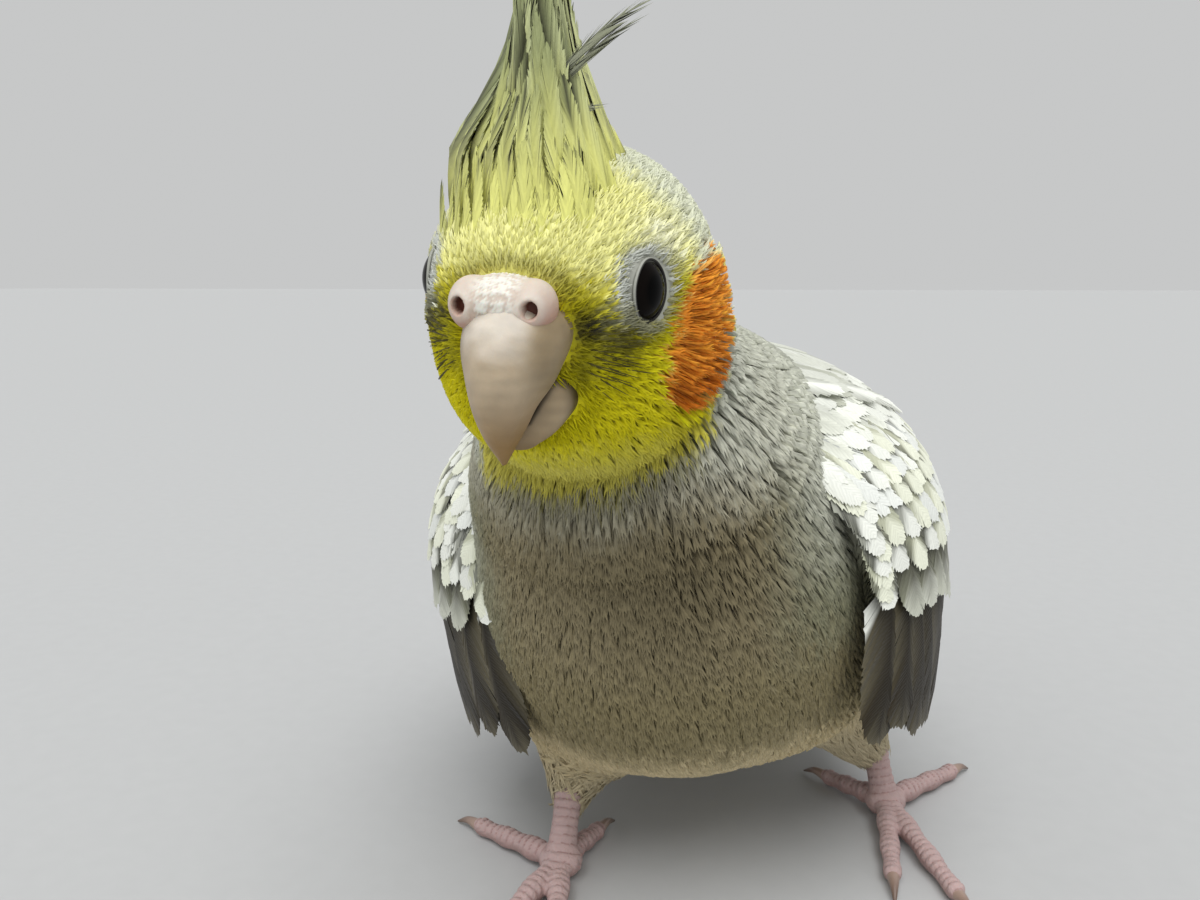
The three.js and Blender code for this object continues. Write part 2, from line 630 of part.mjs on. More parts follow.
addPiece("torso", torso(), "grey");
addPiece("neck", neck(), "grey");
addPiece("head", head(), "yellow");
addPiece("crest", crest(), "crest");
addPiece("cere", cere(), "cere");
addPiece("bill_upper", bill(UPPER_BILL), "horn");
addPiece("bill_lower", bill(LOWER_BILL).subtract(bill(UPPER_BILL, SEAM)), "horn");
addPiece("tail", tail(), "dark");
for (const [side, way] of [["left", 1], ["right", -1]]) {
  addPiece(`eye_${side}`, eyeBall(way), "eye");
  addPiece(`wing_${side}`, wing(way), "white");
  addPiece(`thigh_${side}`, thigh(side), "grey");
  addPiece(`shank_${side}`, shank(side), "skin");
  addPiece(`foot_${side}`, foot(side), "skin");
  TOES[side].forEach((toe, i) => addPiece(`claw_${side}_${i + 1}`, claw(side, toe), "claw"));
}

// Stand the middle of the bird's box over the origin.
const box = new THREE.Box3().setFromObject(bird);
const middle = box.getCenter(at(0, 0, 0));
bird.position.set(-middle.x, -middle.y, -box.min.z);

export default bird;
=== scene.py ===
# A young cockatiel, life size, standing with its crest up and its wings a little low.
# Sizes are millimetres in the bird's own plan, where it faces -Y. toFrame turns them into the frame's metres.
import math

import bpy
import numpy as np
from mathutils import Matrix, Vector
from mathutils.bvhtree import BVHTree
from mathutils.kdtree import KDTree


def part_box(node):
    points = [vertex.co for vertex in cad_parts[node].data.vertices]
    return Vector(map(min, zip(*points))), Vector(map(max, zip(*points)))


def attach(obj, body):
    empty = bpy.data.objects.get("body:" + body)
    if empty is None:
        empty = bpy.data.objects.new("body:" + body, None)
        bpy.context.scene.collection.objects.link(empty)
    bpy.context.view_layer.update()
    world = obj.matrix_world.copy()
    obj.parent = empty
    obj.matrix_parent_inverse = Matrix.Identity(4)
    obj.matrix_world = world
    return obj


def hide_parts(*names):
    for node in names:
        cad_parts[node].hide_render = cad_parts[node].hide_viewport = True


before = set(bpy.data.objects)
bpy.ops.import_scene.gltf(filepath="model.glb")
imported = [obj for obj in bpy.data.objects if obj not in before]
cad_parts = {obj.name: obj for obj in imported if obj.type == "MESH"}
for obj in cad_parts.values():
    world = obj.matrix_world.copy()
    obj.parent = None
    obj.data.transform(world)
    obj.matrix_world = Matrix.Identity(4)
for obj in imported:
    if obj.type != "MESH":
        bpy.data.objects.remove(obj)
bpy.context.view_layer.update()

scene = bpy.context.scene


# Numbers and turns
def mix(a, b, share):
    return a + (b - a) * share


def smooth(low, high, value):
    share = np.clip((np.asarray(value, float) - low) / (high - low), 0, 1)
    return share * share * (3 - 2 * share)


def norm(v):
    return np.linalg.norm(v, axis=-1)


def unit(v):
    return v / np.maximum(norm(v)[..., None], 1e-9)


def circle(count):
    # even angles round a circle
    return np.arange(count) / count * 2 * math.pi


def turn(axis, degrees):
    c, s = math.cos(math.radians(degrees)), math.sin(math.radians(degrees))
    a, b = {"x": (1, 2), "y": (2, 0), "z": (0, 1)}[axis]
    matrix = np.eye(3)
    matrix[a, a] = matrix[b, b] = c
    matrix[a, b], matrix[b, a] = -s, s
    return matrix


def linear(hexColour):
    # sRGB hex to the linear values that shaders work in
    values = np.array([int(hexColour[i:i + 2], 16) for i in (1, 3, 5)]) / 255
    return np.where(values <= 0.04045, values / 12.92, ((values + 0.055) / 1.055) ** 2.4)


def palette(**hexColours):
    return {name: linear(value) for name, value in hexColours.items()}


def over(base, tint, share):
    # the base colours with a tint laid over them, by a share for each of them
    return base + (tint - base) * np.asarray(share, float)[..., None]


# How the bird is held
stance = {"lean": -5, "pivot": 50, "middle": -1.5}                       # the trunk leans to the bird's right
headPose = {"at": (-6, -38.6, 86.9), "yaw": 2.5, "pitch": 11.5, "roll": -3.5}
eyeForm = {"at": (8.6, 6.5, 2.3), "radius": 4, "lidRadius": 3.05, "facing": (0.95, 0.3, 0.08), "dish": 8}
legs = {
    "left": {"pad": (32.5, 17.5), "ankle": (30, 21, 9), "hip": (17, 11, 31)},
    "right": {"pad": (-15, -12.5), "ankle": (-15.5, -6, 8.5), "hip": (-13, 4, 31)},
}
sideOf = {"left": 1, "right": -1}

leanTurn = turn("y", stance["lean"])
leanFoot = np.array((stance["middle"], 0, stance["pivot"]))
headAt = np.array(headPose["at"])
headTurn = turn("z", -headPose["yaw"]) @ turn("x", headPose["pitch"]) @ turn("y", -headPose["roll"])


def leaned(p):
    return (np.asarray(p, float) - (0, 0, stance["pivot"])) @ leanTurn.T + leanFoot


def unleaned(p):
    return (p - leanFoot) @ leanTurn + (0, 0, stance["pivot"])


def headVector(v):
    # (left, forward, up) on the head, as a direction in the plan
    return (np.asarray(v, float) * (1, -1, 1)) @ headTurn.T


def onHead(v):
    return headVector(v) + headAt


def inHead(p):
    return ((p - headAt) @ headTurn) * (1, -1, 1)


def eyeMiddle(side):
    left, forward, up = eyeForm["at"]
    return onHead((side * left, forward, up))


eyeBoxes = [np.array(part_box(f"eye_{side}")).mean(0) * 1000 for side in sideOf]
planOffset = np.mean(eyeBoxes, 0) - np.mean([eyeMiddle(side) for side in sideOf.values()], 0)


def toFrame(p):
    return (np.asarray(p, float) + planOffset) / 1000


# Camera, light and floor
view = {"at": (24.3, -136.4, 88), "turn": 15, "down": 10, "lens": 28.5, "sensor": 36}
light = {
    "top": {"from": (70, -220, 540), "strength": 2.05, "spread": 50},
    "front": {"from": (-260, -420, 160), "strength": 0.32, "spread": 80},
    "sky": "#e9eaea", "skyStrength": 0.7,
}


def aimed(start, end):
    return Vector(np.asarray(end, float) - np.asarray(start, float)).to_track_quat("-Z", "Y").to_euler()


def makeCamera():
    camera = bpy.data.objects.new("camera", bpy.data.cameras.new("camera"))
    scene.collection.objects.link(camera)
    camera.data.lens = view["lens"]
    camera.data.sensor_width = view["sensor"]
    camera.data.clip_start, camera.data.clip_end = 0.002, 100
    ahead = turn("z", view["turn"]) @ turn("x", -view["down"]) @ np.array((0, 1, 0))
    camera.location = toFrame(view["at"])
    camera.rotation_euler = aimed((0, 0, 0), ahead)
    scene.camera = camera


def makeLights():
    for name in ("top", "front"):
        lamp = bpy.data.objects.new(f"light_{name}", bpy.data.lights.new(f"light_{name}", "SUN"))
        scene.collection.objects.link(lamp)
        lamp.data.energy, lamp.data.angle = light[name]["strength"], math.radians(light[name]["spread"])
        lamp.rotation_euler = aimed(light[name]["from"], (0, 0, 0))
    world = bpy.data.worlds.new("studio")
    world.use_nodes = True
    sky = world.node_tree.nodes["Background"]
    sky.inputs["Color"].default_value = (*linear(light["sky"]), 1)
    sky.inputs["Strength"].default_value = light["skyStrength"]
    scene.world = world
    scene.view_settings.view_transform = "Standard"


# Materials
def addNode(material, kind, settings=None, *inputs, **named):
    # adds one node; an input, given in its place or by name, is a value or the (node, output) that feeds it
    tree = material.node_tree
    node = tree.nodes.new(kind)
    for key, value in (settings or {}).items():
        setattr(node, key, value)
    for key, value in [*enumerate(inputs), *named.items()]:
        socket = node.inputs[key.replace("_", " ") if isinstance(key, str) else key]
        if isinstance(value, tuple) and isinstance(value[0], bpy.types.Node):
            tree.links.new(value[0].outputs[value[1]], socket)
        else:
            socket.default_value = value
    return node


def newMaterial(name, **settings):
    material = bpy.data.materials.new(name)
    material.use_nodes = True
    shader = material.node_tree.nodes["Principled BSDF"]
    for key, value in settings.items():
        shader.inputs[key.replace("_", " ")].default_value = value
    return material, shader


def feed(material, source, shader, socket):
    material.node_tree.links.new(source.outputs[0], shader.inputs[socket])


def painted(material, shader, shade, height, strength, depth):
    # the colour painted on the mesh times a shade, and a bump of the given depth in metres
    colour = addNode(material, "ShaderNodeAttribute", {"attribute_name": "plumage"})
    scale = {"operation": "SCALE"}
    feed(material, addNode(material, "ShaderNodeVectorMath", scale, (colour, "Color"), Scale=(shade, 0)),
         shader, "Base Color")
    bump = addNode(material, "ShaderNodeBump", Height=height, Strength=strength, Distance=depth)
    feed(material, bump, shader, "Normal")
    return bump


vaneLook = {"wobble": 0.04, "wobbleScale": 14.0, "patchScale": 5.0, "bump": 0.3, "depth": 0.00005,
            "sheen": 0.08}


def featherMaterial(name, contrast, barb, slope, roughness):
    # Keratin plumage: soft and matt, its barbs drawn as fine slanting lines over the colour it grew with.
    # barb is the step from line to line in mm, slope how far they lean out from the shaft
    material, shader = newMaterial(name, Roughness=roughness, Specular_IOR_Level=0.2,
                                   Sheen_Weight=vaneLook["sheen"], Sheen_Roughness=0.5)
    vaneMap = addNode(material, "ShaderNodeUVMap", {"uv_map": "Barbs"})
    parts = addNode(material, "ShaderNodeSeparateXYZ", Vector=(vaneMap, "UV"))

    def maths(operation, *values):
        return addNode(material, "ShaderNodeMath", {"operation": operation}, *values)

    def noise(scale, detail):
        return addNode(material, "ShaderNodeTexNoise", Vector=(vaneMap, "UV"), Scale=scale, Detail=detail)

    slant = maths("MULTIPLY_ADD", (parts, "Y"), -slope, (maths("ABSOLUTE", (parts, "X")), 0))
    wobble = noise(vaneLook["wobbleScale"], 2.0)
    bent = maths("MULTIPLY_ADD", (wobble, "Fac"), vaneLook["wobble"], (slant, 0))
    # the map is in centimetres, so one barb is barb / 10 of it
    wave = maths("SINE", (maths("MULTIPLY", (bent, 0), 20 * math.pi / barb), 0))
    strong = maths("MULTIPLY", (wave, 0), (noise(vaneLook["patchScale"], 1.0), "Fac"))
    shade = maths("MULTIPLY_ADD", (strong, 0), 2 * contrast, 1.0)
    painted(material, shader, shade, (wave, 0), vaneLook["bump"], vaneLook["depth"])
    return material


def attributeMaterial(name, grainSize, depth, variation, beads=0, **settings):
    # a surface with grain of a size in mm and, where beads gives their number to a metre, fine round beads
    material, shader = newMaterial(name, **settings)
    place = addNode(material, "ShaderNodeTexCoord")
    scale = 1000 / grainSize
    grain = addNode(material, "ShaderNodeTexNoise", Vector=(place, "Object"), Scale=scale, Detail=5.0)
    shade = addNode(material, "ShaderNodeMapRange", Value=(grain, "Fac"),
                    To_Min=1 - variation, To_Max=1 + variation)
    bump = painted(material, shader, shade, (grain, "Fac"), 0.5, depth)
    if beads:
        cells = addNode(material, "ShaderNodeTexVoronoi", {"feature": "DISTANCE_TO_EDGE"},
                        Vector=(place, "Object"), Scale=beads)
        feed(material, addNode(material, "ShaderNodeBump", Height=(cells, "Distance"), Strength=0.6,
                               Distance=0.0003, Normal=(bump, 0)), shader, "Normal")
    return material


# Meshes
def triangulated(faces):
    faces = np.asarray(faces)
    if faces.shape[1] == 3:
        return faces
    return np.concatenate([faces[:, (0, 1, 2)], faces[:, (0, 2, 3)]])


def makePiece(name, verts, faces, material, slot, colours, maps=None, rim=None):
    # one smooth shaded object at the origin, riding on the bird's only body; rim marks corners of sharp edges
    mesh = bpy.data.meshes.new(name)
    faces = np.asarray(faces, np.int32)
    mesh.vertices.add(len(verts))
    mesh.vertices.foreach_set("co", toFrame(verts).astype(np.float32).ravel())
    mesh.loops.add(faces.size)
    mesh.loops.foreach_set("vertex_index", faces.ravel())
    mesh.polygons.add(len(faces))
    mesh.polygons.foreach_set("loop_start", np.arange(0, faces.size, faces.shape[1], dtype=np.int32))
    for key, values in (maps or {}).items():
        layer = mesh.uv_layers.new(name=key)
        layer.data.foreach_set("uv", values[faces.ravel()].astype(np.float32).ravel())
    mesh.update(calc_edges=True)
    if rim is not None:
        ends = np.zeros(len(mesh.edges) * 2, np.int32)
        mesh.edges.foreach_get("vertices", ends)
        sharp = rim[ends.reshape(-1, 2)].all(1)
        mesh.attributes.new("sharp_edge", "BOOLEAN", "EDGE").data.foreach_set("value", sharp)
    layer = mesh.color_attributes.new("plumage", "FLOAT_COLOR", "POINT")
    rgba = np.ones((len(verts), 4), np.float32)
    rgba[:, :3] = np.clip(colours, 0, 1)
    layer.data.foreach_set("color", rgba.ravel())
    mesh.materials.append(material)
    piece = bpy.data.objects.new(name, mesh)
    scene.collection.objects.link(piece)
    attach(piece, "root")
    return piece


def ringFaces(rings, sides):
    # quads between rings, facing outwards when the rings run anticlockwise towards their end
    r, s = np.meshgrid(np.arange(rings - 1), np.arange(sides), indexing="ij")
    a = (r * sides + s).ravel()
    b = (r * sides + (s + 1) % sides).ravel()
    return np.stack([a, b, b + sides, a + sides], 1)


def loft(rings):
    # a closed triangle body through rings (n, sides, 3), with a middle point at each end
    rings = np.asarray(rings, float)
    count, sides = rings.shape[:2]
    verts = np.concatenate([rings.reshape(-1, 3), [rings[0].mean(0)], [rings[-1].mean(0)]])
    walls = triangulated(ringFaces(count, sides))
    s = np.arange(sides)
    foot = np.stack([(s + 1) % sides, s, np.full(sides, count * sides)], 1)
    top = np.stack([s, (s + 1) % sides, np.full(sides, count * sides + 1)], 1)
    top[:, :2] += (count - 1) * sides
    faces = np.concatenate([walls, foot, top])
    return verts, outward(verts, faces)


def outward(verts, faces):
    a, b, c = (verts[faces[:, i]] for i in range(3))
    volume = np.einsum("ij,ij->i", a, np.cross(b, c)).sum()
    return faces if volume > 0 else faces[:, ::-1]


def ball(centre, radii, axes=np.eye(3), sides=28, rows=18):
    lat = np.linspace(0.04, math.pi - 0.04, rows)
    lon = circle(sides)
    ring = np.stack([np.outer(np.sin(lat), np.cos(lon)), np.outer(np.sin(lat), np.sin(lon)),
                     np.outer(np.cos(lat), np.ones(sides))], -1)
    return loft((ring * radii) @ np.asarray(axes).T + centre)


def limb(points, radii, sides=20):
    # a round limb through points, its rings square to its run
    points = np.asarray(points, float)
    ahead = unit(np.gradient(points, axis=0))
    across = unit(np.cross(ahead, np.where(np.abs(ahead[:, 2:]) > 0.9, (0, 1, 0), (0, 0, 1))))
    other = np.cross(across, ahead)
    angle = circle(sides)
    rings = points[:, None] + np.asarray(radii)[:, None, None] * (
        across[:, None] * np.cos(angle)[:, None] + other[:, None] * np.sin(angle)[:, None])
    return loft(rings)


def rounded(points, count):
    # a smooth line through a few points, evenly spaced
    points = np.asarray(points, float)
    ends = np.concatenate([[2 * points[0] - points[1]], points, [2 * points[-1] - points[-2]]])
    t = np.linspace(0, len(points) - 1 - 1e-9, count * 4)
    i = t.astype(int)
    f = (t - i)[:, None]
    a, b, c, d = (ends[i + k] for k in range(4))
    square, cube = 2 * a - 5 * b + 4 * c - d, 3 * b - a - 3 * c + d
    line = 0.5 * (2 * b + (c - a) * f + square * f ** 2 + cube * f ** 3)
    run = np.concatenate([[0], np.cumsum(norm(np.diff(line, axis=0)))])
    even = np.linspace(0, run[-1], count)
    return np.stack([np.interp(even, run, line[:, k]) for k in range(line.shape[1])], 1)


def remeshed(parts, voxel):
    # overlapping closed shapes become one skin of even quads
    verts, faces, start = [], [], 0
    for v, f in parts:
        verts.append(v)
        faces += (triangulated(f) + start).tolist()
        start += len(v)
    mesh = bpy.data.meshes.new("rough")
    mesh.from_pydata(np.concatenate(verts).tolist(), [], faces)
    rough = bpy.data.objects.new("rough", mesh)
    scene.collection.objects.link(rough)
    grid = rough.modifiers.new("grid", "REMESH")
    grid.mode, grid.voxel_size = "VOXEL", voxel
    made = bpy.data.meshes.new_from_object(rough.evaluated_get(bpy.context.evaluated_depsgraph_get()))
    corners = np.zeros(len(made.vertices) * 3)
    made.vertices.foreach_get("co", corners)
    loops = np.zeros(len(made.loops), np.int32)
    made.loops.foreach_get("vertex_index", loops)
    bpy.data.objects.remove(rough)
    bpy.data.meshes.remove(mesh)
    bpy.data.meshes.remove(made)
    return corners.reshape(-1, 3), loops.reshape(-1, 4)


def relaxed(verts, quads, rounds):
    # each corner moves half way to the middle of its neighbours
    ends = np.concatenate([quads[:, (0, 1)], quads[:, (1, 2)], quads[:, (2, 3)], quads[:, (3, 0)]])
    ends = np.concatenate([ends, ends[:, ::-1]])
    count = np.bincount(ends[:, 0], minlength=len(verts))[:, None]
    for _ in range(rounds):
        total = np.stack([np.bincount(ends[:, 0], verts[ends[:, 1], k], len(verts)) for k in range(3)], 1)
        verts = (verts + total / count) / 2
    return verts


# Flesh: ellipsoid lobes that melt into each other, as in the part's own solids
trunkLobes = [  # middle, radii and tilt about X
    ((0, -5, 50), (28, 27, 31), 0), ((1, 12, 39), (27, 32, 26), 0), ((0, 42, 42), (15, 22, 13), -12),
    ((0, 3, 64), (22, 26, 18), 0), ((-1, -19, 68), (18, 17, 16), 0), ((17, 9, 32), (12.5, 15, 14), 0),
    ((-14, 2, 31), (13, 14, 14), 0),
]
headLobes = [  # middle as (left, forward, up) on the head, and radii
    ((0, -4, 0), (16, 17.6, 15.8)), ((0, 7, -0.5), (10.2, 9.5, 10.5)), ((5.2, 2, -7), (6.8, 8.5, 7.5)),
    ((-5.2, 2, -7), (6.8, 8.5, 7.5)), ((0, 6.2, -9.6), (7.6, 7.8, 6)),
]
thighForm = {"hip": 11, "ankle": 3.2, "taper": 1.6}
rumpForm = {"middle": (-1, 58, 35.5), "radii": (9, 15, 4.6), "tilt": -20}
coatDepth = {"trunk": 1.7, "head": 0.9}
melt = {"trunk": 12, "head": 5, "neck": 10, "thigh": 5, "rump": 4, "crease": 16}   # how softly lobes join

trunk = [(leaned(c), leanTurn @ turn("x", tilt), np.array(r)) for c, r, tilt in trunkLobes]
skull = [(onHead(c), headTurn, np.array(r)) for c, r in headLobes]
rump = [(np.array(rumpForm["middle"]), turn("x", rumpForm["tilt"]), np.array(rumpForm["radii"]))]


def lobeDistance(lobe, p):
    centre, axes, radii = lobe
    q = (p - centre) @ axes / radii
    share = norm(q)
    return share * (share - 1) / np.maximum(norm(q / radii), 1e-6)


def meltedMin(a, b, softness):
    near = np.maximum(softness - np.abs(a - b), 0) / softness
    return np.minimum(a, b) - near * near * softness / 4


def melted(lobes, p, softness):
    value = lobeDistance(lobes[0], p)
    for lobe in lobes[1:]:
        value = meltedMin(value, lobeDistance(lobe, p), softness)
    return value


def thighLine(side):
    return np.array(legs[side]["hip"], float), np.array(legs[side]["ankle"], float)


def thighRadius(share):
    return mix(thighForm["hip"], thighForm["ankle"], share ** thighForm["taper"])


def thighDistance(p, side):
    hip, ankle = thighLine(side)
    along = ankle - hip
    share = np.clip((p - hip) @ along / (along @ along), 0, 1)
    return norm(p - hip - share[:, None] * along) - thighRadius(share)


def nearestThigh(p):
    return np.minimum(thighDistance(p, "left"), thighDistance(p, "right"))


def trunkAndHead(p):
    return melted(trunk, p, melt["trunk"]), melted(skull, p, melt["head"])


def headShare(p):
    # 0 on the trunk, 1 on the head
    trunkGap, headGap = trunkAndHead(p)
    return smooth(-4, 6, trunkGap - headGap)


dishes = []   # the middle of each eye's opening and the way it faces, left first
for side in sideOf.values():
    facing = unit(headVector((side * eyeForm["facing"][0], *eyeForm["facing"][1:])))
    rise = math.sqrt(eyeForm["radius"] ** 2 - eyeForm["lidRadius"] ** 2)
    dishes.append((eyeMiddle(side) + facing * rise, facing))


def eyeGap(p):
    # how far each point is from the nearer eye's opening
    return np.min([norm(p - middle) for middle, _ in dishes], 0) - eyeForm["lidRadius"]


def flesh(p):
    # the coat's outer limit
    value = meltedMin(*trunkAndHead(p), melt["neck"])
    for side in legs:
        value = meltedMin(value, thighDistance(p, side), melt["thigh"])
    return meltedMin(value, melted(rump, p, 1), melt["rump"])


def bareFlesh(p):
    # the skin under the coat, hollowed round the eyes
    value = flesh(p) + mix(coatDepth["trunk"], coatDepth["head"], headShare(p))
    for middle, facing in dishes:
        hollow = eyeForm["dish"] - norm(p - middle - facing * eyeForm["dish"])
        value = -meltedMin(-value, -hollow, 1)
    return value


def slopeOf(field, p):
    step = 0.05
    return unit(np.stack([field(p + e) - field(p - e) for e in np.eye(3) * step], 1))


def settled(field, p, lift, rounds):
    # points moved along a field's slope until they lie at the given lift above its surface
    for _ in range(rounds):
        p = p + slopeOf(field, p) * np.reshape(lift - field(p), (-1, 1))
    return p


# Wings: the outer face is a row of half ellipses along the body, as in the solids
wingForm = {
    "front": 34,
    "shoulder": {"back": 8, "height": 48, "out": 40, "above": 32, "below": 66},
    "tip": {"back": 97, "height": 34, "out": 11.3, "above": 9, "below": 20},
    "flesh": [(-15, 55), (-8, 69), (12, 73), (36, 63), (58, 49), (40, 37), (18, 34), (-3, 35), (-12, 43)],
    "middle": (18, 53), "depth": 18, "ahead": {"left": 0, "right": 7}, "steps": 7,
}


def wingReach(y, z):
    # how far out the wing's face lies, and how near its edge: 0 in the middle, 1 on the edge
    shoulder, tip = wingForm["shoulder"], wingForm["tip"]
    share = smooth(shoulder["back"], tip["back"], y)
    height, out, above, below = (mix(shoulder[k], tip[k], share) for k in ("height", "out", "above", "below"))
    ahead = np.maximum(shoulder["back"] - y, 0) / wingForm["front"]
    up = (z - height) / np.where(z < height, below, above)
    return out * np.sqrt(np.maximum(1 - ahead ** 2 - up ** 2, 0.02)), ahead ** 2 + up ** 2


def onWing(side, y, z, lift):
    # places at a lift above the wing's face, and the way the face looks there
    step = 0.5
    slopeBack = (wingReach(y + step, z)[0] - wingReach(y - step, z)[0]) / (2 * step)
    slopeUp = (wingReach(y, z + step)[0] - wingReach(y, z - step)[0]) / (2 * step)
    face = unit(np.stack([np.full_like(slopeUp, side), -slopeBack, -slopeUp], -1))
    place = np.stack([side * wingReach(y, z)[0], y, z], -1) + face * np.reshape(lift, np.shape(y) + (1,))
    return leaned(place), face @ leanTurn.T


def wingCore(side):
    # the wing's flesh: rings about its middle, as (share of the way to the rim, lift), the inner ones sunk
    loop = wingForm["flesh"]
    rim = rounded(np.array([*loop, loop[0]]), 29)[:-1]
    rings = []
    for share, lift, deep in ((0.5, 0, 1), (0.94, 0, 1), (0.97, -3, 0), (0.88, -2.4, 0), (0.5, -2.2, 0)):
        y, z = (mix(np.array(wingForm["middle"]), rim, share)).T
        sunk = deep * mix(wingForm["depth"], 3, smooth(10, 58, y))
        rings.append(onWing(side, y, z, lift - sunk)[0])
    return loft(rings)


# Plumage colours, each what the feather would be in even light, except middle, which is a painted shade for
# the middle of the breast
tone = palette(
    lemon="#fbf9aa", pale="#fbfbdc", olive="#c4bc2c", yellow="#e9df12", throat="#dad26e", orange="#ffa030",
    rust="#cb6c0a", lores="#4c4722", strand="#5f5a2c", ring="#a2a397", slate="#6f726a", lid="#eef1e8",
    crown="#e2e5cc", grey="#bebfb0", nape="#dadccd", pearl="#dde1d0", breast="#93886a", middle="#665d45",
    flank="#88886e", belly="#8c815f", buff="#dccba2", tuft="#b9af94", mantle="#aeb0a3", rump="#bdbda6",
    tail="#6a6654", tailEdge="#b9b37a",
)
# soft patches on both sides of the face: colour, (aside, forward, up), radii and strength
facePatches = [
    ("pale", (12.2, 3.8, 7.2), (3.4, 3.8, 2.6), 1), ("olive", (2.2, 15.6, 5.4), (4.4, 2.4, 1.2), 0.8),
    ("olive", (6.4, 13.8, 4.2), (2.0, 2.2, 1.4), 0.9), ("lores", (7.6, 13.4, 0.2), (2.4, 3.4, 2.2), 1.1),
    ("slate", (9.4, 11.4, 0.4), (1.6, 1.7, 2.0), 1), ("lores", (10.0, 9.5, -2.2), (2.8, 4.0, 1.5), 0.9),
    ("lores", (6.6, 13.6, -4), (1.8, 2.2, 2.4), 0.6),
]
# the pale patch over each eye, painted last: its place, radii and strength
browPatch = ((11.2, 8.2, 6.2), (1.5, 1.8, 0.9), 0.7)


def ripple(p, size, seed):
    # smooth seeded noise from a few crossed waves, mostly between -1 and 1
    draw = np.random.default_rng(100 + seed)
    value = 0
    for _ in range(6):
        wave = unit(draw.normal(size=3)) * 2 * math.pi / (size * draw.uniform(0.6, 1.6))
        value = value + np.sin(p @ wave + draw.uniform(0, 6.3))
    return value / 3


def bibEdge(left):
    # how far below the eyes' level the yellow bib ends
    return -23 + 0.12 * left + 0.02 * np.maximum(left, 0) ** 2 + 0.03 * np.maximum(-left - 12, 0) ** 2


def spot(h, centre, radii):
    # 1 in the middle of a soft patch that both sides of the head have, 0 outside it
    away = (np.stack([np.abs(h[:, 0]), h[:, 1], h[:, 2]], 1) - centre) / radii
    return np.exp(-1.2 * (away ** 2).sum(1))


def cheekShare(h):
    # the round ear patch, behind and below the eye
    forward, up = (h[:, 1] + 2.0) / 6.8, (h[:, 2] + 3.3) / 7.2
    tilted = (forward + 0.2 * up, up)
    reach = (np.abs(tilted[0]) ** 2.5 + np.abs(tilted[1]) ** 2.5) ** 0.4
    return smooth(1.06, 0.94, reach) * (np.abs(h[:, 0]) > 6)


def plumageAt(p):
    # the colour that the plumage has at each point, laid on in layers
    h = inHead(p)
    left, forward, up = h.T
    aside, away = np.abs(left), norm(h)
    x, y, z = unleaned(p).T
    ragged = ripple(p, 3.5, 1)
    bib = smooth(-0.8, 0.8, up - bibEdge(left) + 0.8 * ragged)
    behind = mix(-3.5, -9.5, smooth(-13, -4, up))
    mask = bib * smooth(-1.5, 1.5, forward - behind + 0.8 * ragged) * smooth(34, 30, away)
    under = smooth(-9, -1, up - bibEdge(left)) * smooth(37, 33, away)
    crown = smooth(6.5, 10.5, up - 0.25 * forward + 0.6 * ragged) * smooth(4, -2, forward)
    crown = np.maximum(crown * smooth(34, 28, away), mask * smooth(1, 5, up) * smooth(1.5, -3, forward))
    cheek = cheekShare(h)
    ring = smooth(1.5, 0.8, eyeGap(p))
    overEye = up - eyeForm["at"][2]
    layers = [
        # the trunk
        ("flank", smooth(14, 24, np.abs(x)) * smooth(70, 60, z)),
        ("belly", smooth(46, 34, z + 2 * ragged)),
        # painted shade: a darker patch over the middle of the breast
        ("middle", np.exp(-((x - 7) / 13) ** 2 - ((z - 51) / 11) ** 2) * smooth(5, -5, y) * 0.75),
        ("buff", smooth(29, 20, z + 2 * ragged) * 0.8),
        ("grey", smooth(-26, -14, y - 0.12 * (z - 60)) * smooth(44, 60, z)),
        # painted light: the upper neck on the bird's left side painted paler
        ("nape", smooth(5, 16, x) * smooth(57, 69, z) * 0.8),
        ("mantle", smooth(-10, 6, y) * smooth(50, 62, z)),
        ("rump", smooth(30, 48, y) * 0.8),
        ("tuft", smooth(22, 10, z) * smooth(5, 1, nearestThigh(p)) * 0.7),
        # the head, from the grey nape to the yellow mask and its markings
        ("nape", bib * smooth(0, 5, aside) * smooth(34, 24, away) * (1 - mask)),
        # painted light: a paler band below the bib, against the shade that the head casts there
        ("grey", under * (1 - mask) * 0.5),
        ("yellow", mask),
        ("throat", mask * smooth(-11, -19, up) * 0.8),
        ("lemon", mask * smooth(2, 6, up)),
        ("crown", crown),
        *((name, spot(h, place, radii) * strength) for name, place, radii, strength in facePatches),
        ("lemon", np.clip(cheek * 3, 0, 1) * 0.6),
        ("orange", cheek),
        ("rust", cheek * smooth(-4, -10, up) * 0.8),
        ("ring", ring * smooth(0, -1.5, overEye) * 0.8),
        ("lid", ring * smooth(-1.5, 0, overEye)),
        ("lid", spot(h, *browPatch[:2]) * browPatch[2]),
    ]
    colour = tone["breast"]
    for name, share in layers:
        colour = over(colour, tone[name], share)
    return np.clip(colour, 0, 1)


# Bill stations of each half: its upper and its lower side as (forward, up), and half its width
upperBill = [
    ((11, 3), (11, -3.4), 5.0), ((16, 3.4), (13.4, -3.6), 5.2), ((19.6, 1.8), (15.2, -5.7), 4.7),
    ((21.8, -1.6), (16.0, -7.6), 3.4), ((22.1, -5.4), (16.4, -9.5), 2.4), ((20.6, -9.1), (16.8, -11.1), 1.4),
    ((17.8, -12.7), (16.9, -12.5), 0.4),
]
lowerBill = [
    ((8, -3.0), (8, -10.0), 4.8), ((12.6, -3.2), (12.2, -10.2), 5.2), ((15.2, -5.2), (15.0, -11.0), 4.5),
    ((16.7, -8.4), (16.3, -11.6), 2.9),
]
billForm = {"rings": 64, "sides": 64, "shrink": 0.12, "aside": 0.9, "keel": {"upper": 0.18, "lower": 0}}
# the darkest tone, along the mouth line, and corner are painted shade: a dark line where the halves meet and
# a shadow at the back of the lower half
billTones = palette(horn="#b8a68c", side="#8d7a5a", tip="#8c682e", mouth="#20160a", corner="#4f4229",
                    worn="#d8d0c4")


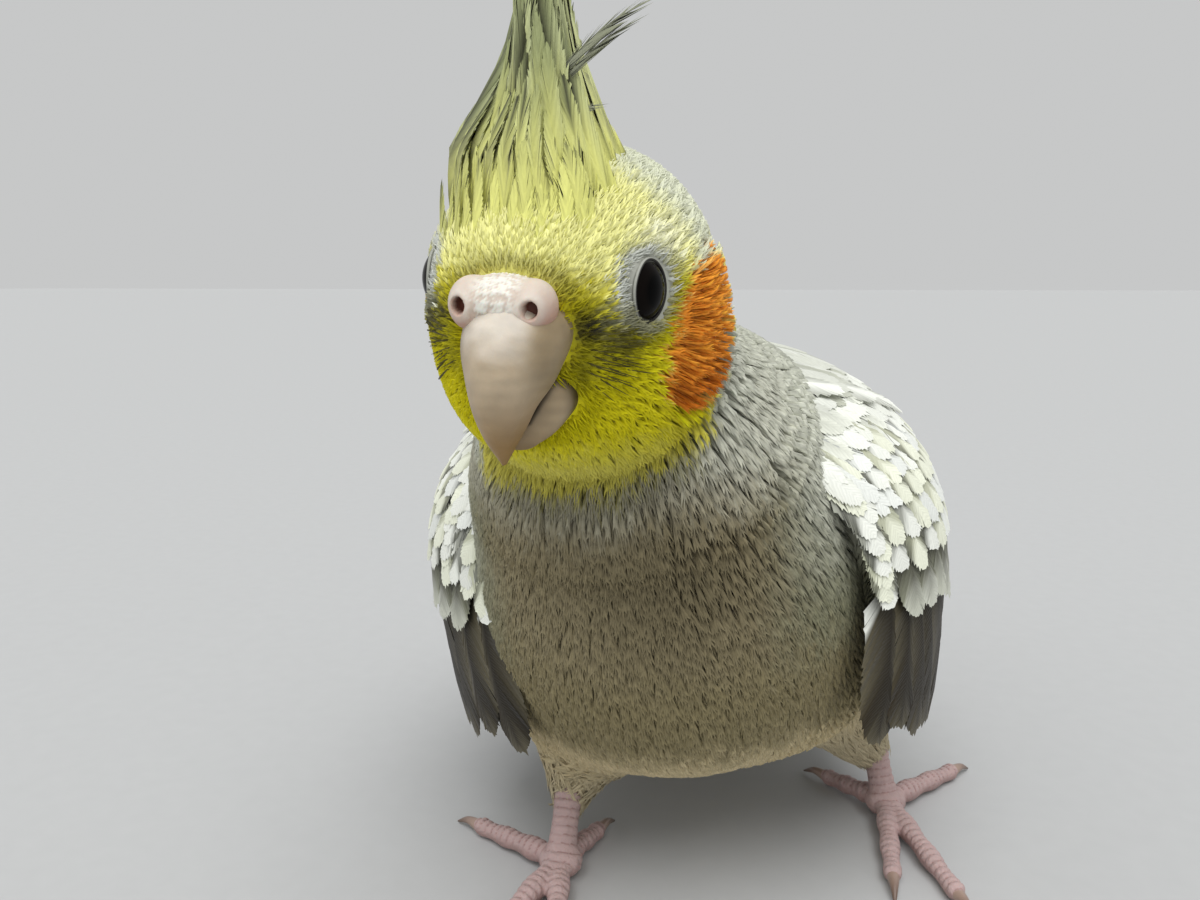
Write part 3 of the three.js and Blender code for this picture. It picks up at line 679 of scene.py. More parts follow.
def billRings(stations, keel):
    flat = np.array([(*top, *edge, half) for top, edge, half in stations])
    angle = circle(billForm["sides"])
    wide, high = np.cos(angle), np.sin(angle)
    # both halves are square where they meet, and the upper ridge is narrower than an oval's
    square = high < 0 if keel else high > 0
    wide = np.sign(wide) * np.abs(wide) ** np.where(square, 0.5, 0.9) * (1 - keel * np.clip(high, 0, 1) ** 2)
    made = []
    for forwardTop, upTop, forwardEdge, upEdge, half in rounded(flat, billForm["rings"]):
        top, edge = onHead((0, forwardTop, upTop)), onHead((0, forwardEdge, upEdge))
        middle, reach = (top + edge) / 2, (top - edge) / 2
        across = headVector((half - billForm["shrink"], 0, 0))
        middle = middle + headVector((billForm["aside"] * (half - 0.4) / 5, 0, 0))
        made.append(middle + across * wide[:, None] + reach * high[:, None])
    return np.array(made), np.append(np.tile(high, billForm["rings"]), [0, 0])


def billShares(half, h, high):
    # where each tone lies; high runs from 1 on the upper side of a half to -1 on its lower side. The darkest
    # tone is painted shade along the mouth line where the halves meet, and corner is a painted shadow at the
    # back corner of the lower half
    aside, forward, up = np.abs(h[:, 0]), h[:, 1], h[:, 2]
    if half == "upper":
        worn = smooth(-2.5, 1.5, up + 0.5 * ripple(h, 2.0, 8)) * smooth(4.4, 2.6, aside) * 0.8
        return {"side": smooth(2.2, 4.4, np.abs(h[:, 0] - 0.5)) * 0.8, "tip": smooth(-3, -11, up) * 0.85,
                "worn": worn, "mouth": smooth(-0.76, -0.9, high) * smooth(-9.6, -8.6, up)}
    return {"side": 0.6 + 0 * high, "tip": smooth(-8, -12.5, up) * 0.5,
            "corner": smooth(15.3, 13.2, forward) * 0.9, "mouth": smooth(0.75, 0.92, high)}


def makeBill():
    # Worn, faintly waxy horn that lets a little light in
    horn = attributeMaterial("bill_keratin", 1.6, 0.0002, 0.16, Roughness=0.45, Specular_IOR_Level=0.4,
                             Subsurface_Weight=0.12, Subsurface_Radius=(0.0012, 0.0007, 0.0004))
    pieces = []
    for half, stations in (("upper", upperBill), ("lower", lowerBill)):
        rings, high = billRings(stations, billForm["keel"][half])
        verts, faces = loft(rings)
        h = inHead(verts)
        colour = billTones["horn"]
        for key, share in billShares(half, h, high).items():
            colour = over(colour, billTones[key], share)
        ridge = smooth(2.2, 0.2, np.abs(h[:, 0])) * (h[:, 1] > 17)
        lines = ripple(h * (0.6, 1, 1.6), 2.4, 7)
        colour = colour * (1 + 0.05 * ridge + 0.07 * lines)[:, None]
        pieces.append((verts, faces))
        piece = makePiece(f"bill_{half}_horn", verts, faces, horn, "bill_horn", colour)
        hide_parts(f"bill_{half}")
    return pieces


cereForm = {
    "lobes": [((0, 15.6, 2.8), (4.3, 3.4, 2.3)), ((2.9, 16.2, 2.4), (2.3, 2.7, 2.6)),
              ((-2.9, 16.2, 2.4), (2.3, 2.7, 2.6))],
    "voxel": 0.16, "relax": 26, "nostril": (3.4, 18.4, 2.6), "nostrilRadius": 0.72, "pit": 1.1, "lip": 0.1,
    "flake": 0.07,
}
cereTones = palette(skin="#d6c8ba", flush="#b98b77", scurf="#efeee4", inside="#56291a")


def makeCere():
    # Bare waxy skin round the nostrils, flushed pink and dusty with scurf
    skin = attributeMaterial("cere_skin", 0.7, 0.00016, 0.06, Roughness=0.55, Specular_IOR_Level=0.35,
                             Subsurface_Weight=0.15, Subsurface_Radius=(0.0016, 0.0007, 0.0004))
    lobes = [(onHead(centre), headTurn, np.array(radii)) for centre, radii in cereForm["lobes"]]
    verts, quads = remeshed([ball(centre, radii, axes) for centre, axes, radii in lobes], cereForm["voxel"])
    verts = relaxed(verts, quads, cereForm["relax"])
    h = inHead(verts)
    aside = np.abs(h[:, 0])
    flakes = ripple(h, 0.5, 4) + 0.6 * ripple(h, 1.1, 5)
    flush = smooth(1.0, 3.6, aside) * smooth(5.0, 1.2, h[:, 2]) * 0.85
    colour = over(cereTones["skin"], cereTones["flush"], flush)
    colour = over(colour, cereTones["scurf"], smooth(-0.5, 0.5, flakes) * smooth(3.0, 1.0, aside) * 0.95)
    normal = slopeOf(lambda p: melted(lobes, p, 2), verts)
    verts = verts + normal * (cereForm["flake"] * flakes * smooth(3.2, 1.0, aside))[:, None]
    sunk = np.zeros(len(verts))
    radius = cereForm["nostrilRadius"]
    for side in sideOf.values():
        hole = np.array(cereForm["nostril"]) * (side, 1, 1)
        off = np.hypot((h[:, 0] - hole[0]) * 1.05, (h[:, 2] - hole[2]) * 0.9)
        inside = smooth(radius * 1.15, radius * 0.7, off) * (h[:, 1] > 16)
        lip = np.exp(-((off - radius * 1.5) / 0.35) ** 2) * (h[:, 1] > 16)
        sunk += inside * cereForm["pit"] - lip * cereForm["lip"]
        colour = over(colour, cereTones["scurf"], lip * 0.35)
        # painted shade inside each nostril's pit
        colour = over(colour, cereTones["inside"], smooth(0.35, 0.9, inside))
    verts = verts - headVector((0, 1, 0)) * sunk[:, None]
    piece = makePiece("cere_skin", verts, quads, skin, "cere", colour)
    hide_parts("cere")
    return verts, triangulated(quads)


lidForm = {"ring": 0.17, "short": 0.86, "long": 0.08, "tilt": 18, "outer": 0.12, "around": 96, "tube": 12}
eyeTones = palette(pupil="#020202", iris="#0d0907", lid="#a4a59c", rim="#2e2c2a")


def makeEyes():
    # A wet cornea over a near black iris, with one clean light
    cornea, shader = newMaterial("eye_cornea", Roughness=0.07, Specular_IOR_Level=0.05)
    feed(cornea, addNode(cornea, "ShaderNodeAttribute", {"attribute_name": "plumage"}), shader, "Base Color")
    # Thin bare grey skin, finely grained
    lidSkin = attributeMaterial("lid_skin", 0.6, 0.00008, 0.08, Roughness=0.6, Specular_IOR_Level=0.3)
    tube = circle(lidForm["tube"])
    for (name, side), (_, facing) in zip(sideOf.items(), dishes):
        centre = eyeMiddle(side)
        across = unit(np.cross(facing, headVector((0, 0, 1))))
        axes = np.stack([across, np.cross(facing, across), facing], 1)
        verts, faces = ball(centre, (eyeForm["radius"] - 0.05,) * 3, axes, 64, 40)
        off = np.arccos(np.clip(unit(verts - centre) @ facing, -1, 1)) * eyeForm["radius"]
        tint = over(eyeTones["pupil"], eyeTones["iris"], smooth(1.5, 1.9, off))
        tint = over(tint, eyeTones["lid"], smooth(3.0, 3.2, off))
        piece = makePiece(f"eye_{name}_cornea", verts, faces, cornea, "eye", tint)
        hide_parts(f"eye_{name}")
        # the lids: a ring on the ball, round their almond opening
        rings = []
        longest = math.radians(90 - side * lidForm["tilt"])
        for a in circle(lidForm["around"]):
            opening = lidForm["short"] + lidForm["long"] * abs(math.cos(a - longest)) ** 3
            reach = eyeForm["lidRadius"] * opening + lidForm["outer"]
            height = math.sqrt(max((eyeForm["radius"] + 0.06) ** 2 - reach ** 2, 0.2))
            out = axes[:, 0] * math.cos(a) + axes[:, 1] * math.sin(a)
            place = centre + out * reach + facing * height
            flat = unit(place - centre)
            wide, high = np.cross(flat, np.cross(out, flat)) * 1.5, flat * 0.9
            ring = wide * np.cos(tube)[:, None] + high * np.sin(tube)[:, None]
            rings.append(place + lidForm["ring"] * ring)
        verts = np.reshape(rings, (-1, 3))
        faces = triangulated(ringFaces(len(rings) + 1, len(tube)) % len(verts))
        inner = np.tile(np.cos(tube) < -0.3, len(rings))
        makePiece(f"lids_{name}", verts, outward(verts, faces), lidSkin, "grey_feathers",
                  over(eyeTones["lid"], eyeTones["rim"], inner))


# Skin: one closed surface under the coat, from trunk, neck, head, thighs, rump and the wings' flesh
skinForm = {"voxel": 1.0, "relax": 4, "under": 1.2, "rumpUnder": 0.8, "reach": 2.2}
skinLook = {"down": 0.95, "face": 1.0, "lid": linear("#b4b5ab")}


def makeSkin():
    # Dull down that shows only in the gaps between feathers
    down = attributeMaterial("down_skin", 1.2, 0.0002, 0.15, Roughness=0.9)
    parts = [ball(c, r - skinForm["under"], axes) for c, axes, r in trunk + skull]
    parts += [ball(c, r - skinForm["rumpUnder"], axes) for c, axes, r in rump]
    parts += [wingCore(side) for side in sideOf.values()]
    share = np.linspace(0, 1, 9)
    for side in legs:
        hip, ankle = thighLine(side)
        parts.append(limb(hip + share[:, None] * (ankle - hip), thighRadius(share) - skinForm["under"]))
    verts, quads = remeshed(parts, skinForm["voxel"])
    verts = relaxed(verts, quads, skinForm["relax"])
    near = np.abs(bareFlesh(verts)) < skinForm["reach"]
    for _ in range(3):
        verts[near] = settled(bareFlesh, verts[near], 0, 1)
        verts = relaxed(verts, quads, 1)
    verts[near] = settled(bareFlesh, verts[near], 0, 2)
    colour = plumageAt(verts) * mix(skinLook["down"], skinLook["face"], headShare(verts))[:, None]
    colour = over(colour, skinLook["lid"], smooth(1.6, 0.9, eyeGap(verts)))
    skin = makePiece("skin", verts, quads, down, "grey_feathers", colour)
    bpy.context.view_layer.objects.active = skin
    skin.select_set(True)
    skin.data.uv_layers.new(name="OFBake")
    bpy.ops.object.mode_set(mode="EDIT")
    bpy.ops.mesh.select_all(action="SELECT")
    bpy.ops.uv.smart_project(angle_limit=math.radians(66), island_margin=0.004)
    bpy.ops.object.mode_set(mode="OBJECT")
    skin.select_set(False)
    uv = np.zeros(len(skin.data.loops) * 2)
    skin.data.uv_layers["OFBake"].data.foreach_get("uv", uv)
    uv = uv.reshape(-1, 4, 2)
    uv = np.concatenate([uv[:, (0, 1, 2)], uv[:, (0, 2, 3)]])
    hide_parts("torso", "neck", "head", "thigh_left", "thigh_right")
    print("skin", len(quads), "quads")
    return verts, triangulated(quads), uv


# Feathers: one flat closed shape, bent and sized for each of many. A half rim lists corners from the quill to
# the tip as (along, across, kind, where their barb leaves the shaft); kind is 1 between barb tips, 2 on them.
vanes = {  # barbs to a side, how deep they part, their sweep and start, fullest place, quill, shaft's steps
    "tuft": (2, 0.8, 0.9, 0.4, 0.35, 0.25, 2), "plume": (3, 0.72, 0.9, 0.35, 0.35, 0.25, 3),
    "silk": (3, 0.75, 0.9, 0.3, 0.3, 0.25, 4), "sprig": (1, 0.6, 0.9, 0.4, 0.35, 0.25, 2),
    "hair": (1, 0.4, 0.9, 0.3, 0.3, 0.4, 4), "crest": (26, 0.14, 0.4, 0.12, 0.3, 0.3, 10),
    "wisp": (14, 0.9, 0.45, 0.3, 0.7, 0.1, 8), "flight": (22, 0.05, 0.35, 0.12, 0.6, 0.3, 10),
    "covert": (12, 0.12, 0.45, 0.25, 0.6, 0.35, 5), "tail": (34, 0.05, 0.2, 0.06, 0.8, 0.35, 14),
}
combs = {"mantle": (4, 0.2, 3), "rump": (10, 0.1, 5)}   # teeth to a side, how deep they part, shaft's steps


def vaneRim(barbs, deep, sweep, start, fullness, quill):
    # a slender vane, its barbs fanned out on both sides
    def web(s):
        close = np.clip((s - fullness) / (1 - fullness), 0, 1)
        opening = np.clip(s / start, 0, 1)
        return mix(quill, 1, opening * (2 - opening)) * np.sqrt(np.maximum(1 - close ** 2, 0))

    rim = [(0.0, quill, 1, 0.0)]
    tips = [*mix(start, 1, 1 - (1 - np.linspace(0, 1, barbs + 1)[:-1]) ** 1.5), 1]
    for s, after in zip(tips, tips[1:]):
        rim.append((s, web(s), 2, s - sweep * web(s)))
        middle = (s + after) / 2
        foot = middle - sweep * web(middle)
        rim.append((mix(middle, foot, deep), web(middle) * (1 - deep), 1, foot))
    return rim


def combRim(teeth, deep, lean=0.3, fullness=0.5, quill=0.15, blunt=2.3):
    # a broad vane, its blunt end a comb of barbs that run on along it
    def reach(t):
        return fullness + (1 - fullness) * (1 - t ** blunt) ** (1 / blunt)

    rim = [(0.0, quill, 1, 0.0), (fullness * 0.5, 0.8, 1, fullness * 0.3)]
    for i in range(teeth):
        t, between = 1 - i / teeth, 1 - (i + 0.5) / teeth
        rim.append((reach(t), t, 2, reach(t) - lean * t))
        rim.append((reach(between) - deep, between, 1, reach(between) - lean * between))
    return rim


def featherShape(name):
    # both halves of the rim joined to a shaft, above and below; corners are (along, across, rise)
    *form, spine = vanes.get(name) or combs[name]
    rim = vaneRim(*form) if name in vanes else combRim(*form)
    spines = np.linspace(0, 1, spine + 1)
    points, kinds = [], []

    def add(s, t, rise, kind):
        points.append((s, t, rise))
        kinds.append(kind)
        return len(points) - 1

    tip = add(1, 0, 0, 2)
    layers = {up: [add(s, 0, up, 0) for s in spines[:-1]] + [tip] for up in (1, -1)}
    faces, rimIndex = [], [tip]
    feet = [foot for *_, foot in rim] + [1.0]
    for side in (1, -1):
        edge = [add(s, side * t, 0, kind) for s, t, kind, _ in rim] + [tip]
        rimIndex += edge
        for up, shaft in layers.items():
            i = j = 0
            while i < spine or j < len(edge) - 1:
                if j >= len(edge) - 1 or (i < spine and spines[i + 1] <= feet[j + 1]):
                    face = (shaft[i], shaft[i + 1], edge[j])
                    i += 1
                else:
                    face = (shaft[i], edge[j + 1], edge[j])
                    j += 1
                if len(set(face)) == 3:
                    faces.append(face[::side * up])
        faces.append((layers[1][0], *(edge[0], layers[-1][0])[::side]))
    rimMask = np.zeros(len(points), bool)
    rimMask[rimIndex] = True
    return {"points": np.array(points, float), "kinds": np.array(kinds), "faces": np.array(faces),
            "rim": rimMask}


def arch(root, middle, tip, steps=6):
    # a bent line from each root through its middle to its tip
    control = 2 * middle - (root + tip) / 2
    s = np.linspace(0, 1, steps)[None, :, None]
    return (1 - s) ** 2 * root[:, None] + 2 * s * (1 - s) * control[:, None] + s ** 2 * tip[:, None]


def bendFeathers(shape, path, face, width, draw, thick, camber, ragged, shut=0.0):
    # each feather's shaft follows its own line (feathers, steps, 3), and face is the way its outer side
    # looks; shut is how far the gaps between its barbs close up
    count, steps = path.shape[:2]
    along, across, rise = (np.tile(shape["points"][:, k], (count, 1)) for k in range(3))
    loose = np.where(shape["kinds"] == 2, ragged, ragged * 0.4) * (shape["points"][:, 0] > 0.05)
    notch = (shape["kinds"] == 1) & (shape["points"][:, 0] > 0.4)
    along = along + draw.normal(size=along.shape) * loose + np.reshape(shut, (-1, 1)) * notch
    across = across * (1 + draw.normal(size=across.shape) * loose)
    station = np.clip(along, 0, 1) * (steps - 1)
    i = np.minimum(station.astype(int), steps - 2)
    share = (along * (steps - 1) - i)[..., None]
    row = np.arange(count)[:, None]
    ahead = np.gradient(path, axis=1)
    face = np.broadcast_to(face if face.ndim == 3 else face[:, None], path.shape)
    line, ahead, face = (mix(v[row, i], v[row, i + 1], share) for v in (path, ahead, face))
    side = unit(np.cross(ahead, face))
    up = unit(np.cross(side, ahead))
    half = np.reshape(width, (-1, 1)) / 2
    height = rise * thick / 2 * (1 - 0.7 * along) - camber * half * across ** 2
    height = height + draw.normal(size=along.shape) * loose * half * 0.8
    return line + side * (across * half)[..., None] + up * height[..., None]


class Coat:
    # gathers batches of feathers of one tract and makes their pieces
    patch = 0.0027     # how much of the skin's unwrap one feather takes
    limit = 190000     # triangles in one piece

    def __init__(self, name, material, slot):
        self.name, self.material, self.slot = name, material, slot
        self.batches = []

    def add(self, shape, verts, colours, rootMap, length, width):
        s, t = shape["points"][:, 0], shape["points"][:, 1]
        bake = np.clip(rootMap[:, None] + np.stack([t * 0.5, s - 0.5], 1) * self.patch, 0.0005, 0.9995)
        barbs = np.stack([np.outer(width / 2, t), np.outer(length, s)], -1) / 10
        barbs = barbs + np.arange(len(verts))[:, None, None] % 37 * (0, 0.173)
        self.batches.append((shape, verts, colours, bake, barbs))

    def split(self):
        # the batches cut into groups that each stay under the limit
        groups, pending, room = [], [], self.limit
        for shape, *batch in self.batches:
            each, start = len(shape["faces"]), 0
            while start < len(batch[0]):
                take = min(len(batch[0]) - start, room // each)
                if take <= 0:
                    groups.append(pending)
                    pending, room = [], self.limit
                    continue
                pending.append((shape, *(values[start:start + take] for values in batch)))
                start += take
                room -= take * each
        return groups + [pending]

    def make(self):
        made = []
        groups = self.split()
        for number, group in enumerate(groups, 1):
            name = self.name if len(groups) == 1 else f"{self.name}_{number}"
            columns = [[] for _ in range(4)]
            faces, rim = [], []
            base = 0
            for shape, *batch in group:
                count, corners = batch[0].shape[:2]
                starts = base + np.arange(count) * corners
                faces.append((shape["faces"][None] + starts[:, None, None]).reshape(-1, 3))
                rim.append(np.tile(shape["rim"], count))
                for column, values in zip(columns, batch):
                    column.append(values.reshape(count * corners, -1))
                base += count * corners
            verts, colours, bake, barbs = (np.concatenate(column) for column in columns)
            made.append(makePiece(name, verts, np.concatenate(faces), self.material, self.slot, colours,
                                  {"OFBake": bake, "Barbs": barbs}, np.concatenate(rim)))
        print(self.name, sum(len(piece.data.polygons) for piece in made), "triangles in", len(made))
        return made


def shaded(base, shape, draw, notch=0.8, tip=1.05, root=0.7, rootTo=(0, 0.5), spread=0.04, strength=1.0):
    # per corner colours: darker between the barbs, a painted shade in the gaps; darker towards the root,
    # partly the dark down there and partly painted shade under the feathers above; lighter on their tips, a
    # painted light
    s = shape["points"][:, 0]
    kinds = shape["kinds"]
    factor = np.where(kinds == 1, notch, np.where(kinds == 2, tip, 1)) * mix(root, 1, smooth(*rootTo, s))
    factor = 1 + (factor[None] - 1) * np.reshape(strength, (-1, 1))
    each = 1 + draw.normal(size=(len(base), 1)) * spread
    corner = 1 + draw.normal(size=(len(base), len(s))) * spread * 0.5
    return np.clip(base[:, None] * (factor * each * corner)[..., None], 0, 1)


def scattered(verts, tris, uv, spacingAt, allowed, seed):
    # roots over the skin, no two closer than the spacing there
    draw = np.random.default_rng(seed)
    a, b, c = (verts[tris[:, k]] for k in range(3))
    area = norm(np.cross(b - a, c - a)) / 2
    spacing = spacingAt((a + b + c) / 3)
    tries = 9
    which = np.repeat(np.arange(len(tris)), draw.poisson(area / spacing ** 2 * tries))
    draw.shuffle(which)
    u, v = draw.random((2, len(which)))
    flip = u + v > 1
    u, v = np.where(flip, 1 - u, u), np.where(flip, 1 - v, v)
    w = np.stack([1 - u - v, u, v], 1)[..., None]
    points = (verts[tris[which]] * w).sum(1)
    spots = (uv[which] * w).sum(1)
    keep = allowed(points)
    points, spots = points[keep], spots[keep]
    reach = spacingAt(points)
    tree = KDTree(len(points))
    for i, p in enumerate(points):
        tree.insert(p, i)
    tree.balance()
    free = np.ones(len(points), bool)
    chosen = []
    for i in range(len(points)):
        if free[i]:
            chosen.append(i)
            for _, j, _ in tree.find_range(points[i], reach[i]):
                free[j] = False
    return points[chosen], spots[chosen]


lieForm = {"bill": np.array((0, 16, -2)), "nape": np.array((-5, -30, 96)), "droop": 0.35}
coatForm = {  # length, width, spacing and lift of the feathers
    "bill": (1.7, 0.75, 0.46, 0.45), "face": (3.4, 1.1, 0.58, 0.62), "crown": (4.6, 1.5, 0.72, 0.75),
    "bib": (3.8, 1.0, 0.54, 0.85), "breast": (5.0, 1.6, 0.62, 1.0), "flank": (5.4, 1.75, 0.68, 1.1),
    "belly": (6.2, 1.7, 0.72, 1.2), "back": (8.5, 4.2, 1.5, 1.6), "thigh": (7.5, 1.6, 0.85, 1.7),
    "collar": (1.5, 0.55, 0.32, 0.8), "cheek": (4.8, 0.8, 0.48, 1.2), "strand": (4.8, 0.2, 0.75, 0.6),
}
rowForm = {"step": 2.5, "width": 0.2, "bands": 1.6}
# each tract's seed, how far its feathers stray from their lie, how high their middles stand, and their
# shades: notch and tip give painted shade between the barbs and painted light on their tips, root and rootTo
# a darker root that is partly dark down and partly painted shade
tracts = {
    "face": {"seed": 23, "angle": 0.16, "stand": 0.7, "notch": 0.9, "tip": 1.05, "root": 0.86,
             "spread": 0.05},
    "mantle": {"seed": 31, "angle": 0.08, "stand": 0.82, "notch": 0.8, "tip": 1.08, "root": 0.72,
               "rootTo": (0.4, 0.8), "spread": 0.035},
    "body": {"seed": 24, "angle": 0.1, "stand": 0.88, "notch": 0.9, "tip": 1.05, "root": 0.88,
             "rootTo": (0.3, 0.8), "spread": 0.035},
    "belly": {"seed": 25, "angle": 0.12, "stand": 0.8, "notch": 0.9, "tip": 1.05, "root": 0.88,
              "rootTo": (0.2, 0.7)},
    "cheeks": {"seed": 26, "angle": 0.12, "stand": 0.8, "notch": 0.88, "tip": 1.12, "root": 0.8,
               "rootTo": (0.1, 0.75), "spread": 0.12},
    "collar": {"seed": 28, "angle": 0.3, "stand": 0.9, "notch": 0.9, "tip": 1.05, "root": 0.8},
    "strands": {"seed": 30, "angle": 0.07, "stand": 1.0},
}
growth = {
    # how feathers vary in length, width and lift, and how much shorter they are before an open eye
    "length": (0.85, 1.12), "width": (0.9, 1.1), "lift": (0.92, 1.06), "beforeEye": 0.75,
    # how deep they root, how thick and ragged they are, and how far along they take their colour
    "rooted": 0.3, "thick": 0.12, "ragged": 0.05, "colourAt": 0.55,
    # how far from its own place a corner takes its colour, so that the edges of markings fray
    "strayed": 0.7,
}
# no feather roots lower or deeper than these, or nearer to an eye or the bill; then the belly's upper limit
# and the mantle's front and lower ones
coatLimits = {"floor": 8, "deepest": -9, "eye": 0.25, "bill": 0.25, "belly": 27, "mantle": (8, 44)}


def flowAt(p, normal):
    # the way feathers run: away from the bill on the head, away from the nape on the trunk, down the thighs
    h = inHead(p)
    away = headVector(unit(h - lieForm["bill"]))
    away = away - np.array((0, 0, 1)) * (lieForm["droop"] * smooth(6, -8, h[:, 2]))[:, None]
    back = unit(p - lieForm["nape"]) + np.array((0, 0.25, -0.1))
    lie = over(back, away, headShare(p))
    for side in legs:
        hip, ankle = thighLine(side)
        lie = over(lie, unit(ankle - hip), smooth(4, 0, thighDistance(p, side)) * smooth(30, 20, p[:, 2]))
    return lie - normal * np.einsum("ij,ij->i", lie, normal)[:, None]


def rowTurns(p):
    # how many rows of feathers lie between the nape and each point
    away = norm(p - lieForm["nape"])
    return (away + 0.25 * p[:, 1] - 0.1 * p[:, 2]) / rowForm["step"]


def inRows(p):
    # on the left of the neck the feathers keep to rows, elsewhere they are scattered
    turns = rowTurns(p)
    x, y, z = unleaned(p).T
    loose = (furShare(p) > 0.3) | (headShare(p) > 0.2) | (x < 6) | (z < 50) | (y > 8)
    return loose | (np.abs(turns - np.round(turns)) < rowForm["width"])


def creaseAt(p):
    # how much the coat stands up to bridge the crease between head and trunk
    a, b = trunkAndHead(p)
    return meltedMin(a, b, melt["neck"]) - meltedMin(a, b, melt["crease"])


def bibShare(p):
    h = inHead(p)
    bib = smooth(-3, 1, h[:, 2] - bibEdge(h[:, 0])) * smooth(-6, -1, h[:, 1])
    return bib * smooth(34, 31, norm(h))


def fromBill(p):
    # how far each point is from where the feathers of the head spread
    return norm(inHead(p) - lieForm["bill"])


def furShare(p):
    # 1 where the feathers are as short and fine as fur: the face and the yellow bib
    return np.maximum(headShare(p) * smooth(21, 17, fromBill(p)), bibShare(p))


def aheadOfEye(p, length):
    # how far each feather has to be cut back so as not to reach over the open eye
    share = 0
    for middle, _ in dishes:
        gap = norm(p - middle) - eyeForm["lidRadius"]
        before = smooth(-1, 2, (p - middle) @ headVector((0, 1, 0)))
        share = np.maximum(share, smooth(length * 0.9, 0.3, gap) * before)
    return share


def coatSizes(p):
    sizes = {key: np.reshape(value, (-1, 1)) for key, value in coatForm.items()}
    head = mix(sizes["bill"], sizes["face"], smooth(5, 17, fromBill(p)))
    head = mix(head, sizes["crown"], smooth(17, 24, fromBill(p)))
    x, y, z = unleaned(p).T
    made = sizes["breast"]
    for key, share in (
        ("flank", smooth(4, 20, np.abs(x)) * smooth(72, 62, z)),
        ("belly", smooth(42, 30, z)),
        ("back", smooth(4, 18, y) * smooth(44, 58, z)),
        ("thigh", smooth(4, 0, nearestThigh(p)) * smooth(26, 16, z)),
    ):
        made = mix(made, sizes[key], share)
    made = mix(made, head, headShare(p))
    return mix(made, sizes["bib"], bibShare(p) * (1 - headShare(p)))


def underWing(p):
    # where the wing's own feathers hide the trunk
    x, y, z = unleaned(p).T
    reach, edge = wingReach(y, z)
    return (edge < 0.6) & (y > 2) & (np.abs(x) < reach) & (np.abs(x) > 14) & (z > 36) & (z < 64)


def gapFinder(pieces):
    # a function that tells how far points are from the bill and cere, negative inside them
    starts = np.cumsum([0] + [len(verts) for verts, _ in pieces[:-1]])
    faces = np.concatenate([f + start for (_, f), start in zip(pieces, starts)])
    tree = BVHTree.FromPolygons(np.concatenate([verts for verts, _ in pieces]).tolist(), faces.tolist())

    def billGap(p):
        gap = np.full(len(p), 9.0)
        h = inHead(p)
        for i in np.nonzero((h[:, 1] > 6) & (h[:, 2] < 9) & (h[:, 2] > -16))[0]:
            nearest, normal, _, distance = tree.find_nearest(p[i])
            gap[i] = math.copysign(distance, (Vector(p[i]) - nearest).dot(normal))
        return gap

    return billGap


def makeTract(name, kind, shapeName, roots, rootMap, sizes, perCorner=False, colourOf=None, shut=0.0,
              camber=0.2, strength=1.0):
    # one tract of like feathers: laid along the skin, bent over it and coloured
    shape, form = featherShape(shapeName), dict(tracts[name])
    draw = np.random.default_rng(form.pop("seed"))
    angle, stand = form.pop("angle"), form.pop("stand")
    count = len(roots)
    length, width, _, lift = (np.broadcast_to(v, (count,)) for v in sizes)
    longer = draw.uniform(*growth["length"], count)
    length = length * longer * (1 - growth["beforeEye"] * aheadOfEye(roots, length))
    width = width * draw.uniform(*growth["width"], count)
    normal = slopeOf(bareFlesh, roots)
    lie = unit(flowAt(roots, normal))
    lie = unit(lie + np.cross(lie, normal) * draw.normal(size=(count, 1)) * angle)
    height = lift * draw.uniform(*growth["lift"], count) + creaseAt(roots + lie * (length * 0.7)[:, None])
    tipAt = settled(bareFlesh, roots + lie * length[:, None], height, 2)
    middleAt = settled(bareFlesh, (roots + tipAt) / 2, height * stand, 2)
    path = arch(roots - normal * growth["rooted"], middleAt, tipAt)
    made = bendFeathers(shape, path, normal, width, draw, growth["thick"], camber, growth["ragged"], shut)
    if perCorner:
        places = made + draw.normal(size=(count, 1, 3)) * growth["strayed"]
        base = plumageAt(places.reshape(-1, 3)).reshape(made.shape)
        colour = base * shaded(np.ones((count, 3)), shape, draw, strength=strength, **form)
    else:
        places = roots + lie * (length * growth["colourAt"])[:, None]
        colour = shaded(plumageAt(places), shape, draw, **form)
    if colourOf:
        colour = colourOf(colour, made, shape, draw)
    coat = Coat(f"coat_{name}", *kind)
    coat.add(shape, made, np.clip(colour, 0, 1), rootMap, length, width)
    coat.make()


def rowShade(colour, made, *_):
    # painted shade in soft bands round the neck and over the breast, darker where each row of feathers
    # overlaps the next, clearest on the left
    p = made.reshape(-1, 3)
    turns = rowTurns(p) / rowForm["bands"] + 0.25 * ripple(p, 16, 11)
    side = 0.05 + 0.12 * smooth(0, 15, unleaned(p)[:, 0]) * smooth(44, 56, p[:, 2])
    return colour * (1 + side * np.sin(turns * 2 * math.pi)).reshape(colour.shape[:2] + (1,))


def pearled(colour, made, shape, draw):
    # cream edges and a grey heart on the mantle's feathers
    t = np.abs(shape["points"][:, 1])
    _, y, z = np.moveaxis(unleaned(made.reshape(-1, 3)).reshape(made.shape), -1, 0)
    back = smooth(-12, 4, y) * smooth(50, 62, z)
    pale = back * (smooth(0.35, 0.8, t) * 0.8 + 0.15) * draw.uniform(0.2, 0.8, (len(made), 1))
    return over(colour, tone["pearl"], np.clip(pale, 0, 1))


